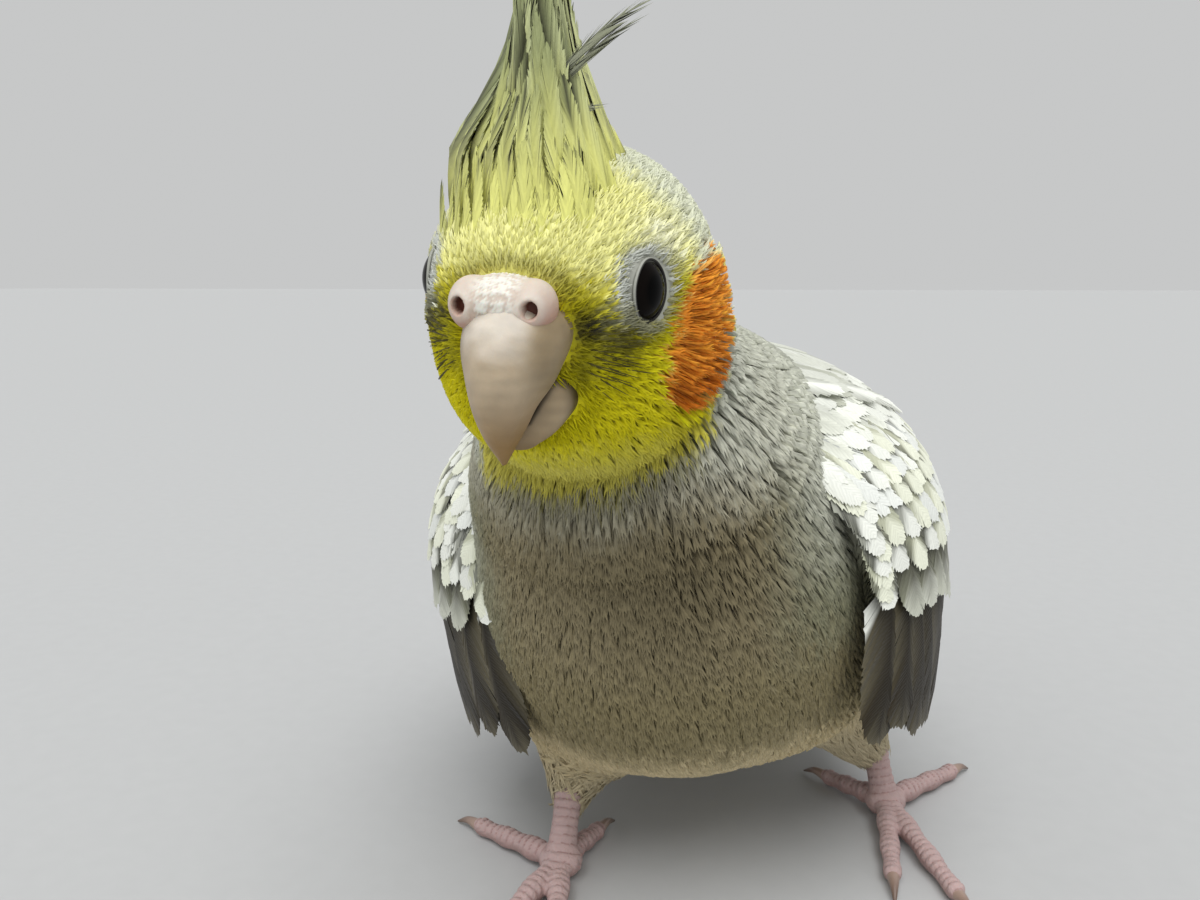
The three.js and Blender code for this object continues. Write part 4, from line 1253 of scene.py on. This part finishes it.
def makeCoat(skin, billGap):
    def allowed(p):
        ok = ~underWing(p) & (p[:, 2] > coatLimits["floor"]) & (flesh(p) > coatLimits["deepest"])
        ok &= eyeGap(p) > coatLimits["eye"]
        ok[ok] = billGap(p[ok]) > coatLimits["bill"]
        ok[ok] = inRows(p[ok])
        return ok

    def onRim(p):
        # close round the bill, the cere and the eyes
        eye, gap = eyeGap(p), billGap(p)
        return (headShare(p) > 0.9) & (eye > 0.1) & ((np.abs(gap - 0.55) < 0.55) | ((eye < 1.5) & (gap > 0)))

    def onLores(p):
        return (spot(inHead(p), (7.6, 12.4, -2.6), (2.6, 2.8, 3.2)) > 0.4) & (billGap(p) > 0.6)

    # Short, dense and matt, almost like fur
    soft = featherMaterial("plumage_face", 0.05, 0.3, 0.4, 0.85), "yellow_feathers"
    # Soft vanes whose barbs part into a comb
    vaned = featherMaterial("plumage_body", 0.1, 0.3, 0.12, 0.8), "grey_feathers"
    roots, rootMap = scattered(*skin, lambda p: coatSizes(p)[2], allowed, 21)
    print("feather roots", len(roots))
    sizes = coatSizes(roots)
    x, y, z = unleaned(roots).T
    draw = np.random.default_rng(22)
    cheek = (cheekShare(inHead(roots)) > 0.5) & (headShare(roots) > 0.3)
    fur = ~cheek & ((furShare(roots) > 0.5) | (headShare(roots) > 0.6))
    belly = ~cheek & ~fur & (z + draw.normal(size=len(roots)) * 3 < coatLimits["belly"])
    behind, above = coatLimits["mantle"]
    mantle = ~cheek & ~fur & ~belly & (y > behind) & (z > above)
    plume = ~cheek & ~fur & ~belly & ~mantle
    # how strongly each body feather takes the painted shade and painted light of shaded: most on the bird's
    # left neck and flank
    strength = 0.35 + 0.6 * smooth(0, 15, x) * smooth(34, 50, z) + 0.2 * draw.normal(size=len(roots))
    strength = np.clip(strength, 0.1, 1.1)[plume]

    shut = combs["mantle"][1] * draw.uniform(0, 0.6, mantle.sum())
    for name, kind, shape, part, options in (
        ("face", soft, "tuft", fur, {"perCorner": True}),
        ("mantle", vaned, "mantle", mantle,
         {"perCorner": True, "colourOf": pearled, "shut": shut, "camber": 0.12}),
        ("body", vaned, "plume", plume, {"perCorner": True, "colourOf": rowShade, "strength": strength}),
        ("belly", vaned, "plume", belly, {"perCorner": True}),
        ("cheeks", soft, "silk", cheek, {}),   # the ear patch: fine silky strands in layers
    ):
        own = coatForm["cheek"] if name == "cheeks" else sizes[:, part]
        makeTract(name, kind, shape, roots[part], rootMap[part], own, **options)

    # a close ring of tiny tufts round the bill, cere and eyes, and dark bristly strands from the gape
    for name, shape, own, where, seed, colourOf in (
        ("collar", "sprig", coatForm["collar"], onRim, 27, None),
        ("strands", "hair", coatForm["strand"], onLores, 29, lambda colour, *_: colour * 0 + tone["strand"]),
    ):
        roots, rootMap = scattered(*skin, lambda p: np.full(len(p), own[2]), where, seed)
        makeTract(name, soft, shape, roots, rootMap, own, colourOf=colourOf)


# Crest: rows from the brow to the nape, long soft feathers that draw together above their roots
crestRows = [  # forward place, how many, spread to either side, length, how far they lean back
    (13.3, 12, 4.6, 4.4, 0.5), (12.6, 13, 5.4, 5.6, 0.5), (11.8, 14, 6.0, 7.2, 0.42),
    (10.8, 14, 6.8, 9.5, 0.33), (9.4, 14, 7.5, 13, 0.22), (7.6, 13, 8.0, 18, 0.12),
    (5, 12, 8.6, 26, 0.05), (2, 12, 8.6, 34, 0.06), (-1, 11, 8.0, 40, 0.12),
    (-4, 8, 6.0, 39, 0.18), (-6.5, 6, 4.5, 30, 0.28), (-9, 7, 5.0, 15, 0.6),
]
crestWisps = [  # root, middle and tip of each stray feather, on the head, and its width
    ((0.5, 3, 21), (4.5, 2.5, 25), (9.3, 1.5, 28), 1.3),
    ((0.5, 3, 20), (4, 2.6, 23.6), (8.2, 1.2, 26.4), 1.0),
    ((1, 3, 17), (3, 2.6, 18.4), (5.2, 1.5, 19), 0.8),
]
crestForm = {
    # the crest's outline as the bird faces: its middle and half width at each height above the eyes
    "up": (11, 14.8, 19.3, 23.7, 28, 34, 41, 50), "middle": (-2.1, -2.6, -1.5, -0.8, -1.1, -1.2, -1.2, -1.2),
    "half": (9.3, 8.4, 5.9, 3.9, 2.9, 2.1, 1.5, 0.8), "spread": 8.6, "inset": 1.2, "aside": -1.5,
    "width": 3.5, "full": 26, "curl": 0.16, "sunk": 0.6, "steps": 10, "follow": 0.2,
}
crestTones = palette(base="#e3e384", web="#9aa171", edge="#d6dcaa", grey="#74795c", streak="#484a34",
                     wisp="#93967f")


def crestFeet(left, forward):
    # how high above the eyes each root is, just under the skin
    ups = np.linspace(16, -2, 91)
    grid = np.stack(np.broadcast_arrays(left[:, None], forward[:, None], ups), -1)
    under = bareFlesh(onHead(grid.reshape(-1, 3))).reshape(len(left), -1) < -crestForm["sunk"]
    return ups[under.argmax(1)]


def crestPath(left, forward, length, lean, away, foot):
    # one feather's shaft: up from its root, drawn in to the crest's outline, leaning and curling back
    form = crestForm
    share = left / form["spread"]
    left = left + form["aside"]
    along = np.linspace(0, 1, form["steps"])
    rise = length * along / math.hypot(1, lean)
    middle, half = (np.interp(foot + rise, form["up"], form[key]) for key in ("middle", "half"))
    held = middle + share * np.maximum(half - form["inset"], 0.2)
    back = lean * rise + form["curl"] * rise * along + away[1] * along ** 2
    held = held - form["follow"] * (8 - forward + back)
    out = mix(left, held, 1 - np.exp(-rise / 4)) + away[0] * along ** 2
    face = headVector(np.stack([left * 0.12 + 0 * along, 1 + 0 * along, lean + 0.2 + 0 * along], 1))
    return onHead(np.stack([out, forward - back, foot + rise], 1)), face


def makeCrest(rootPlaces):
    # Long lax vanes, softer in their gloss than the wing's
    vane = featherMaterial("plumage_crest", 0.06, 0.45, 0.22, 0.75)
    coat = Coat("crest_feathers", vane, "crest_feathers")
    draw = np.random.default_rng(31)
    plans = []
    for forward, count, spread, length, lean in crestRows:
        for k in range(count):
            left = mix(-spread, spread, k / (count - 1)) + draw.normal() * 0.35
            reach = length * (1 - 0.35 * (left / spread) ** 2) * draw.uniform(0.86, 1.04)
            grown = mix(0.26, 1, min(length / crestForm["full"], 1))
            wide = crestForm["width"] * draw.uniform(0.75, 1.1) * grown
            front = forward + np.clip(draw.normal(), -1.3, 1.3) * 0.8
            plans.append((left, front, reach, lean, (draw.normal() * 0.3, draw.normal() * 0.6), wide))
    lefts, fronts, length, width = (np.array([plan[k] for plan in plans]) for k in (0, 1, 2, 5))
    feet = crestFeet(lefts + crestForm["aside"], fronts)
    path, face = (np.array(v) for v in zip(*(crestPath(*plan[:5], foot) for plan, foot in zip(plans, feet))))
    face = face + draw.normal(size=(len(plans), 1, 3)) * 0.2
    shape = featherShape("crest")
    verts = bendFeathers(shape, path, face, width, draw, 0.14, 0.3, 0.03)
    s, t = shape["points"][:, 0], np.abs(shape["points"][:, 1])
    rise = length[:, None] * s
    greyed = smooth(9, 36, rise) * draw.uniform(0.2, 1, (len(plans), 1))
    streaked = (draw.random(len(plans)) < 0.55)[:, None] * smooth(0.3, 0.05, t) * smooth(5, 10, rise)
    colour = crestTones["base"]
    for name, share in (("web", smooth(3, 15, rise)), ("grey", greyed * 0.8),
                        ("edge", smooth(0.45, 0.95, t) * 0.7 * smooth(4, 12, rise)), ("streak", streaked)):
        colour = over(colour, crestTones[name], share)
    colour = colour * (1 + draw.normal(size=(len(plans), 1, 1)) * 0.04)
    coat.add(shape, verts, colour, rootPlaces(path[:, 0]), length, width)
    # a few stray feathers whose barbs hang apart
    loose = featherShape("wisp")
    start, middle, end = (onHead(np.array([wisp[k] for wisp in crestWisps])) for k in range(3))
    length, width = norm(end - start), np.array([wisp[3] for wisp in crestWisps])
    outside = headVector(np.array([(0, 1, 0.3)] * len(crestWisps)))
    verts = bendFeathers(loose, arch(start, middle, end, 9), outside, width, draw, 0.12, 0.1, 0.1)
    # painted shade between the barbs and painted light on their tips
    colour = shaded(np.tile(crestTones["wisp"], (len(crestWisps), 1)), loose, draw, 0.7, 1.2, 1)
    coat.add(loose, verts, colour, rootPlaces(start), length, width)
    for piece in coat.make():
        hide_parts("crest")


def placeFinder(verts, tris, uv):
    # a function that tells where roots are on the skin's unwrap
    tree = BVHTree.FromPolygons(verts.tolist(), tris.tolist())
    return lambda points: np.array([uv[tree.find_nearest(p)[2]].mean(0) for p in points])


# Wings: tiers from the deepest. Each runs from its lowest feather, at the wing's front edge, to its highest:
# count, then root (back, up), degrees it points down, length and width of both, lift at root and tip, kind
wingTiers = [
    (20, (-12, 46), 90, 23, 8.5, (34, 56), 19, 72, 12.5, (-1, 0.1), "flight"),
    (17, (-10, 53), 84, 12.5, 6, (36, 61), 24, 31, 9.5, (-1, 0.5), "greater"),
    (17, (-12, 56.5), 82, 9.5, 5, (31, 65), 26, 20, 7.4, (-0.5, 0.35), "median"),
    (11, (-14, 51), 86, 8, 4.4, (-15.5, 66), 76, 6.5, 3.8, (-0.4, 0.35), "edge"),
    (17, (-12.5, 59.5), 80, 8.5, 4.6, (26, 68), 28, 15, 6.4, (-0.2, 0.35), "lesser"),
    (17, (-13.5, 62), 76, 7.5, 4.3, (22, 70), 30, 12, 5.6, (-0.15, 0.36), "lesser"),
    (16, (-14, 64.5), 73, 7, 4.1, (19, 72), 31, 10.5, 5.2, (-0.1, 0.37), "lesser"),
    (15, (-14, 66.8), 70, 6.6, 3.9, (16.5, 74), 33, 9.5, 4.9, (-0.05, 0.38), "lesser"),
    (14, (-13.5, 69), 65, 6.4, 3.8, (14, 75.6), 34, 9, 4.6, (0, 0.4), "top"),
    (13, (-12.5, 71), 60, 6.2, 3.7, (12, 77), 36, 8.5, 4.4, (0, 0.42), "top"),
    (12, (-11, 73), 54, 6, 3.6, (9.5, 78), 37, 8, 4.2, (0.05, 0.44), "shoulder"),
    (11, (-8.5, 75), 48, 6, 3.6, (7, 78.8), 38, 8, 4.2, (0.1, 0.46), "shoulder"),
    (10, (-8, 75.5), 46, 8, 4.6, (30, 66.5), 26, 20, 7.4, (-0.9, 1.3), "scapular"),
]
wingTones = palette(cream="#f4f6ed", lemon="#eef1ca", lilac="#e2e7ea", shade="#cdd1b6", slate="#55564a",
                    dark="#231d10", brown="#3a301b", edge="#7f7861", grey="#9fa195")


def tierPaths(side, ahead, tier, draw):
    # the shafts of one tier, laid over the wing's face
    count, lowRoot, lowSteep, lowLength, lowWidth, highRoot, highSteep, highLength, highWidth, lift, _ = tier
    share = np.linspace(0, 1, count)
    root = mix(np.array(lowRoot), np.array(highRoot), share[:, None]) + draw.normal(size=(count, 2)) * 0.25
    root[:, 0] -= ahead * smooth(0.5, 0, share)
    steep = np.radians(mix(lowSteep, highSteep, share) + draw.normal(size=count) * 1.6)[:, None]
    length = mix(lowLength, highLength, share ** 1.15) * draw.uniform(0.95, 1.05, count)
    width = mix(lowWidth, highWidth, share)
    steps = wingForm["steps"]
    along = np.linspace(0, 1, steps)
    y = root[:, :1] + length[:, None] * along * np.cos(steep)
    z = root[:, 1:] - length[:, None] * along * np.sin(steep) * (1 - 0.08 * along)
    rise = mix(lift[0], lift[1], along ** 0.7) + draw.normal(size=(count, 1)) * 0.08
    path, face = (v.reshape(count, steps, 3) for v in onWing(side, y.ravel(), z.ravel(), rise.ravel()))
    order = np.arange(count)[:, None, None] * 0.02
    return path + face * order, face, length, width, share


def wingColours(kind, shape, share, draw):
    # the colours of one tier's feathers; share runs from its lowest feather to its highest
    s, t = shape["points"][:, 0], shape["points"][:, 1]
    aside = np.abs(t)
    count = len(share)
    each = draw.random((count, 1))
    share = share[:, None]
    made = np.tile(wingTones["cream"], (count, len(s), 1))

    def lay(name, amount):
        nonlocal made
        made = over(made, wingTones[name], np.clip(np.broadcast_to(amount, (count, len(s))), 0, 1))

    # on the lower coverts the dark base runs further down both sides than in the middle
    based = smooth(0.05, -0.05, s - (0.56 + 0.3 * t ** 2))
    if kind == "flight":
        lay("dark", 1.0)
        lay("brown", smooth(0.15, 0.9, t) * (0.4 + 0.4 * each))
        lay("edge", smooth(0.74, 1.0, aside) * (0.4 + 0.4 * each))
        lay("edge", smooth(0.88, 1.0, s) * 0.5)
        lay("cream", smooth(0.3, 0.24, s) * smooth(0.1, 0.5, t) * (share < 0.5))
    elif kind == "greater":
        lay("slate", based)
        lay("shade", smooth(0.5, 0.75, s) * 0.35 + 0.2 * each)
        lay("slate", (np.exp(-(t / 0.1) ** 2) * smooth(0.9, 0.6, s)) * 0.7)
        lay("brown", (share < 0.3) * 0.25)
    elif kind in ("median", "lesser", "edge"):
        dark, often = (0.9, 0.75) if kind == "median" else (0.7, 0.4)
        lay("slate", based * dark * (each > 0.15) * smooth(0.85, 0.6, share))
        lay("lemon", 0.4 * (each > 0.6))
        lay("lilac", 0.25 * (each < 0.3))
        lay("shade", smooth(0.6, 1, aside) * 0.2)
        flecked = (draw.random((count, 1)) < often) * (share < 0.7)
        flecks = np.exp(-((aside - 0.85) / 0.15) ** 2) * smooth(0.25, 0.5, s) * smooth(0.98, 0.8, s)
        lay("slate", flecks * flecked)
    elif kind == "scapular":
        lay("grey", smooth(0.2, 0.45, aside) * smooth(1, 0.8, s) * 0.8)
    else:
        lay("grey", (kind == "shoulder") * (0.25 + 0.45 * each))
        lay("shade", 0.35 * each)
        lay("grey", np.exp(-(t / 0.16) ** 2) * smooth(0.95, 0.7, s) * (each > 0.5) * 0.5)
    shade = 1 + draw.normal(size=(count, 1, 1)) * 0.035
    # every feather darker towards its root: painted shade under the feathers that overlap it
    return np.clip(made * shade * mix(0.75, 1, smooth(0, 0.3, s))[None, :, None], 0, 1)


def makeWings(rootPlaces):
    # Firm, closed vanes with a low satin gloss
    vane = featherMaterial("plumage_wing", 0.04, 0.5, 0.9, 0.6)
    # each shape with how thick and how ragged its feathers are
    quill = featherShape("flight"), 0.3, 0.02
    covert = featherShape("covert"), 0.08, 0.03
    for name, side in sideOf.items():
        draw = np.random.default_rng(41)
        coat = Coat(f"wing_feathers_{name}", vane, "wing_feathers")
        for tier in wingTiers:
            path, face, length, width, share = tierPaths(side, wingForm["ahead"][name], tier, draw)
            shape, thick, ragged = quill if tier[-1] in ("flight", "greater") else covert
            verts = bendFeathers(shape, path, face, width, draw, thick, 0.2, ragged)
            colours = wingColours(tier[-1], shape, share, draw)
            coat.add(shape, verts, colours, rootPlaces(path[:, 0]), length, width)
        for piece in coat.make():
            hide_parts(f"wing_{name}")


# Tail: pairs from the long middle one, which lies on top, to the short outer one
tailForm = {
    "length": 128, "root": (-1, 46, 43), "width": 12, "pairs": (1, 0.94, 0.87, 0.78, 0.69, 0.58), "steps": 14,
    "splay": (0.6, 0.85), "sink": 0.75, "bar": 6.5,
}
tailCoverts = {"rows": 5, "across": 7, "width": 8.5, "length": (17, 24), "back": (36, 7.5), "up": (52, -5.4)}


def tailPath(side, pair, share):
    # one feather's shaft down to the floor, and the way its face looks
    x, y, z = tailForm["root"]
    along = share * np.linspace(0, 1, tailForm["steps"])
    splay = side * math.radians(tailForm["splay"][0] + pair * tailForm["splay"][1])
    height = (z - 0.3) * (1 - along) ** 1.25 - pair * tailForm["sink"] * (1 - along ** 2)
    run = tailForm["length"] * 0.94 * along
    out = x + side * (1.5 + pair * 0.6) + run * math.sin(splay)
    path = np.stack([out, y + run * math.cos(splay), 0.5 + height], 1)
    return path, np.tile(unit(np.array((side * 0.1, 0.33, 0.94))), (len(along), 1))


def makeTail(rootPlaces):
    # Stiff closed vanes, a little more matt than the wing's
    vane = featherMaterial("plumage_tail", 0.05, 0.55, 0.8, 0.65)
    coat = Coat("tail_feathers", vane, "tail_feathers")
    draw = np.random.default_rng(51)
    shape = featherShape("tail")
    plans = [(side, pair, share) for pair, share in enumerate(tailForm["pairs"]) for side in sideOf.values()]
    path, face = (np.array(v) for v in zip(*(tailPath(*plan) for plan in plans)))
    pair, share = (np.array([plan[k] for plan in plans]) for k in (1, 2))
    width, length = tailForm["width"] - pair * 0.35, share * tailForm["length"]
    verts = bendFeathers(shape, path, face, width, draw, 0.4, 0.2, 0.01)
    s, t = shape["points"][:, 0], np.abs(shape["points"][:, 1])
    rise = length[:, None] * s
    bars = smooth(-0.1, 0.5, np.sin(rise / tailForm["bar"] * 2 * math.pi + 2 * t)) * smooth(0.25, 0.7, t)
    colour = over(tone["tail"], tone["tailEdge"], bars * mix(0.25, 0.9, pair[:, None] / 5))
    colour = over(colour, tone["tailEdge"], smooth(0.8, 1, t) * 0.5)
    coat.add(shape, verts, colour, rootPlaces(path[:, 0]), length, width)
    # rows of coverts over the tail's root
    form = tailCoverts
    covert = featherShape("rump")
    grid = np.meshgrid(np.arange(form["rows"]), np.arange(form["across"]), indexing="ij")
    row, k = (v.ravel().astype(float) for v in grid)
    count = len(row)
    out = (k / (form["across"] - 1) * 2 - 1) * (10 - row)
    back = form["back"][0] + row * form["back"][1] - np.abs(out) * 0.5
    up = form["up"][0] + row * form["up"][1] - out ** 2 * 0.045
    start = np.stack([tailForm["root"][0] + out, back, up], 1)
    reach = mix(*form["length"], row / (form["rows"] - 1))
    wayOut = unit(np.stack([out * 0.035, np.ones(count), np.full(count, -0.55)], 1))
    far = start + wayOut * reach[:, None] + (0, 0, 0.6)
    middle = (start + far) / 2 + (0, 0, 1.2)
    outside = unit(np.stack([out * 0.07, np.full(count, 0.45), np.full(count, 0.9)], 1))
    width = np.full(count, form["width"])
    verts = bendFeathers(covert, arch(start, middle, far), outside, width, draw, 0.2, 0.3, 0.03)
    base = np.tile(tone["rump"], (count, 1)) * draw.uniform(0.85, 1.1, (count, 1))
    # painted shade between the barbs and towards the root, partly dark down there, and painted light on their
    # tips
    colour = shaded(base, covert, draw, 0.8, 1.05, 0.6, (0.3, 0.75))
    coat.add(covert, verts, colour, rootPlaces(start), reach, width)
    for piece in coat.make():
        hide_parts("tail")


# Legs: bare scaly shanks and toes, two ahead and two behind, with a claw each
toes = {  # the way each toe points, in degrees out from straight ahead, and its length
    "left": [(-128, 12), (2, 19), (24, 23), (142, 19)], "right": [(-165, 11), (-14, 19), (14, 23), (114, 17)],
}
footForm = {"toe": (1.75, 0.28), "shank": (2.1, -0.05), "pad": (3.3, 3.3, 2.4), "voxel": 0.3, "scute": 1.25,
            "ridge": 0.13}   # toe and shank: radius and taper
clawForm = {"length": 5.5, "root": 1.12, "tip": 0.16, "overlap": 0.9}
footTones = palette(skin="#ab8e8a", groove="#8f6c69", plate="#c8b2b0", claw="#a58d80", clawTip="#6a574c")


def toeLine(side, angle, length):
    # the middle line of a toe, from the pad to the claw, and the way it points
    x, y = legs[side]["pad"]
    a = math.radians(angle)
    way = np.array((sideOf[side] * math.sin(a), -math.cos(a), 0))
    height = footForm["toe"][0] * 0.88
    start = np.array((x, y, height + 1))
    spots = [start] + [start * (1, 1, 0) + way * length * k + (0, 0, z)
                       for k, z in ((0.5, height + 0.5), (0.9, height), (1, height))]
    return np.array(spots), way


def limbLines(side):
    # the toes and the shank, each as its line, radius and taper
    lines = [(rounded(toeLine(side, *toe)[0], 40), *footForm["toe"]) for toe in toes[side]]
    pad = np.array((*legs[side]["pad"], 2.5))
    top = np.array(legs[side]["ankle"], float) + (0, 0, 3)
    shank = rounded(np.array([top, mix(top, pad, 0.5), pad]), 30)
    return lines + [(shank, *footForm["shank"])]


def plated(verts, lines):
    # for each corner, how far along its plate it lies and how far up its toe or shank it faces
    best = np.full(len(verts), 1e9)
    plate, upper = np.zeros(len(verts)), np.zeros(len(verts))
    for line, radius, taper in lines:
        gap = norm(verts[:, None] - line[None])
        near = gap.argmin(1)
        distance = gap[np.arange(len(verts)), near] - radius
        run = np.concatenate([[0], np.cumsum(norm(np.diff(line, axis=0)))])
        ahead = unit(np.gradient(line, axis=0))[near]
        along = run[near] + ((verts - line[near]) * ahead).sum(1)
        out = np.array((0, 0, 1)) if taper > 0 else unit(np.array((0.3, -1, 0)))
        take = distance < best
        best = np.where(take, distance, best)
        plate = np.where(take, (along / footForm["scute"]) % 1, plate)
        upper = np.where(take, smooth(-0.15, 0.55, unit(verts - line[near]) @ out), upper)
    return plate, upper


def cornerNormals(verts, quads):
    # the way out of the skin at each corner
    a, b, c = (verts[quads[:, k]] for k in range(3))
    normal = np.zeros_like(verts)
    for k in range(4):
        np.add.at(normal, quads[:, k], np.cross(b - a, c - a))
    return unit(normal)


def makeFoot(side, hide):
    lines = limbLines(side)
    parts = []
    for line, radius, taper in lines:
        share = np.linspace(0, 1, len(line))
        bulge = 0.1 * np.cos(share * 6 * math.pi) if taper > 0 else 0.06 * np.cos(share * 2 * math.pi)
        parts.append(limb(line, radius * (1 - taper * share) * (1 + bulge)))
        parts.append(ball(line[-1], (radius * (1 - taper),) * 3))
    parts.append(ball(np.array((*legs[side]["pad"], 2.6)), footForm["pad"]))
    verts, quads = remeshed(parts, footForm["voxel"])
    verts = relaxed(verts, quads, 2)
    plate, upper = plated(verts, lines)
    ridge = (smooth(0, 0.25, plate) * smooth(1, 0.55, plate) - 0.5) * upper * footForm["ridge"] * 2
    verts = verts + cornerNormals(verts, quads) * ridge[:, None]
    verts[:, 2] = np.maximum(verts[:, 2], 0)
    groove = smooth(0.2, 0, plate) * upper
    colour = footTones["skin"] * (1 + 0.08 * ripple(verts, 5, 9))[:, None]
    colour = over(colour, footTones["groove"], groove * 0.6)
    colour = over(colour, footTones["plate"], upper * (1 - groove) * 0.45)
    foot = makePiece(f"foot_skin_{side}", verts, quads, hide, "foot_skin", colour)
    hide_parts(f"foot_{side}", f"shank_{side}")


def makeClaw(side, number, toe, nail):
    spots, way = toeLine(side, *toe)
    reach = clawForm["length"] + clawForm["overlap"]
    start = spots[3] * (1, 1, 0) + (0, 0, 1.3) - way * clawForm["overlap"]
    line = rounded([start, start + way * 1.4 + (0, 0, 0.15), start + way * 4 + (0, 0, 0.15),
                    start + way * reach + (0, 0, -0.95)], 22)
    share = np.linspace(0, 1, len(line))
    verts, faces = limb(line, mix(clawForm["root"], clawForm["tip"], share ** 1.2))
    verts[:, 2] = np.maximum(verts[:, 2], 0.02)
    tip = smooth(0.2, 1, ((verts - start) @ way) / reach)
    colour = over(footTones["claw"], footTones["clawTip"], tip)
    claw = makePiece(f"claw_{side}_{number}_horn", verts, faces, nail, "claw_horn", colour)
    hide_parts(f"claw_{side}_{number}")


def makeFeet():
    # Dry scaly skin: rows of overlapping plates on top, fine round grains at the sides and below
    hide = attributeMaterial("foot_scales", 0.9, 0.0001, 0.09, 1500.0, Roughness=0.6, Specular_IOR_Level=0.35,
                             Subsurface_Weight=0.1, Subsurface_Radius=(0.0015, 0.0006, 0.0004))
    # Smooth nail with a soft shine
    nail = attributeMaterial("claw_keratin", 1.0, 0.00005, 0.08, Roughness=0.35)
    for side in legs:
        makeFoot(side, hide)
        for number, toe in enumerate(toes[side], 1):
            makeClaw(side, number, toe, nail)


paperForm = {"half": 12, "tooth": 260.0, "tone": "#bcbdbd"}   # metres, and the tooth's number to a metre


def makeFloor():
    # A wide sheet of pale paper, matt, with a faint tooth
    paper, shader = newMaterial("studio_paper", Roughness=0.9, Specular_IOR_Level=0.1)
    place = addNode(paper, "ShaderNodeTexCoord")
    tooth = addNode(paper, "ShaderNodeTexNoise", Vector=(place, "Object"), Scale=paperForm["tooth"],
                    Detail=4.0)
    shade = addNode(paper, "ShaderNodeMapRange", Value=(tooth, "Fac"), To_Min=0.97, To_Max=1.03)
    white = addNode(paper, "ShaderNodeVectorMath", {"operation": "SCALE"}, tuple(linear(paperForm["tone"])),
                    Scale=(shade, 0))
    feed(paper, white, shader, "Base Color")
    mesh = bpy.data.meshes.new("floor")
    half = paperForm["half"]
    corners = [(-half, -half, 0), (half, -half, 0), (half, half, 0), (-half, half, 0)]
    mesh.from_pydata(corners, [], [(0, 1, 2, 3)])
    floor = bpy.data.objects.new("floor", mesh)
    scene.collection.objects.link(floor)
    mesh.materials.append(paper)


makeCamera()
makeLights()
makeFloor()
billPieces = makeBill()
cerePiece = makeCere()
makeEyes()
print("bill, cere and eyes")
skin = makeSkin()
makeCoat(skin, gapFinder([*billPieces, cerePiece]))
rootPlaces = placeFinder(*skin)
makeCrest(rootPlaces)
makeWings(rootPlaces)
makeTail(rootPlaces)
makeFeet()
print("crest, wings, tail and feet")
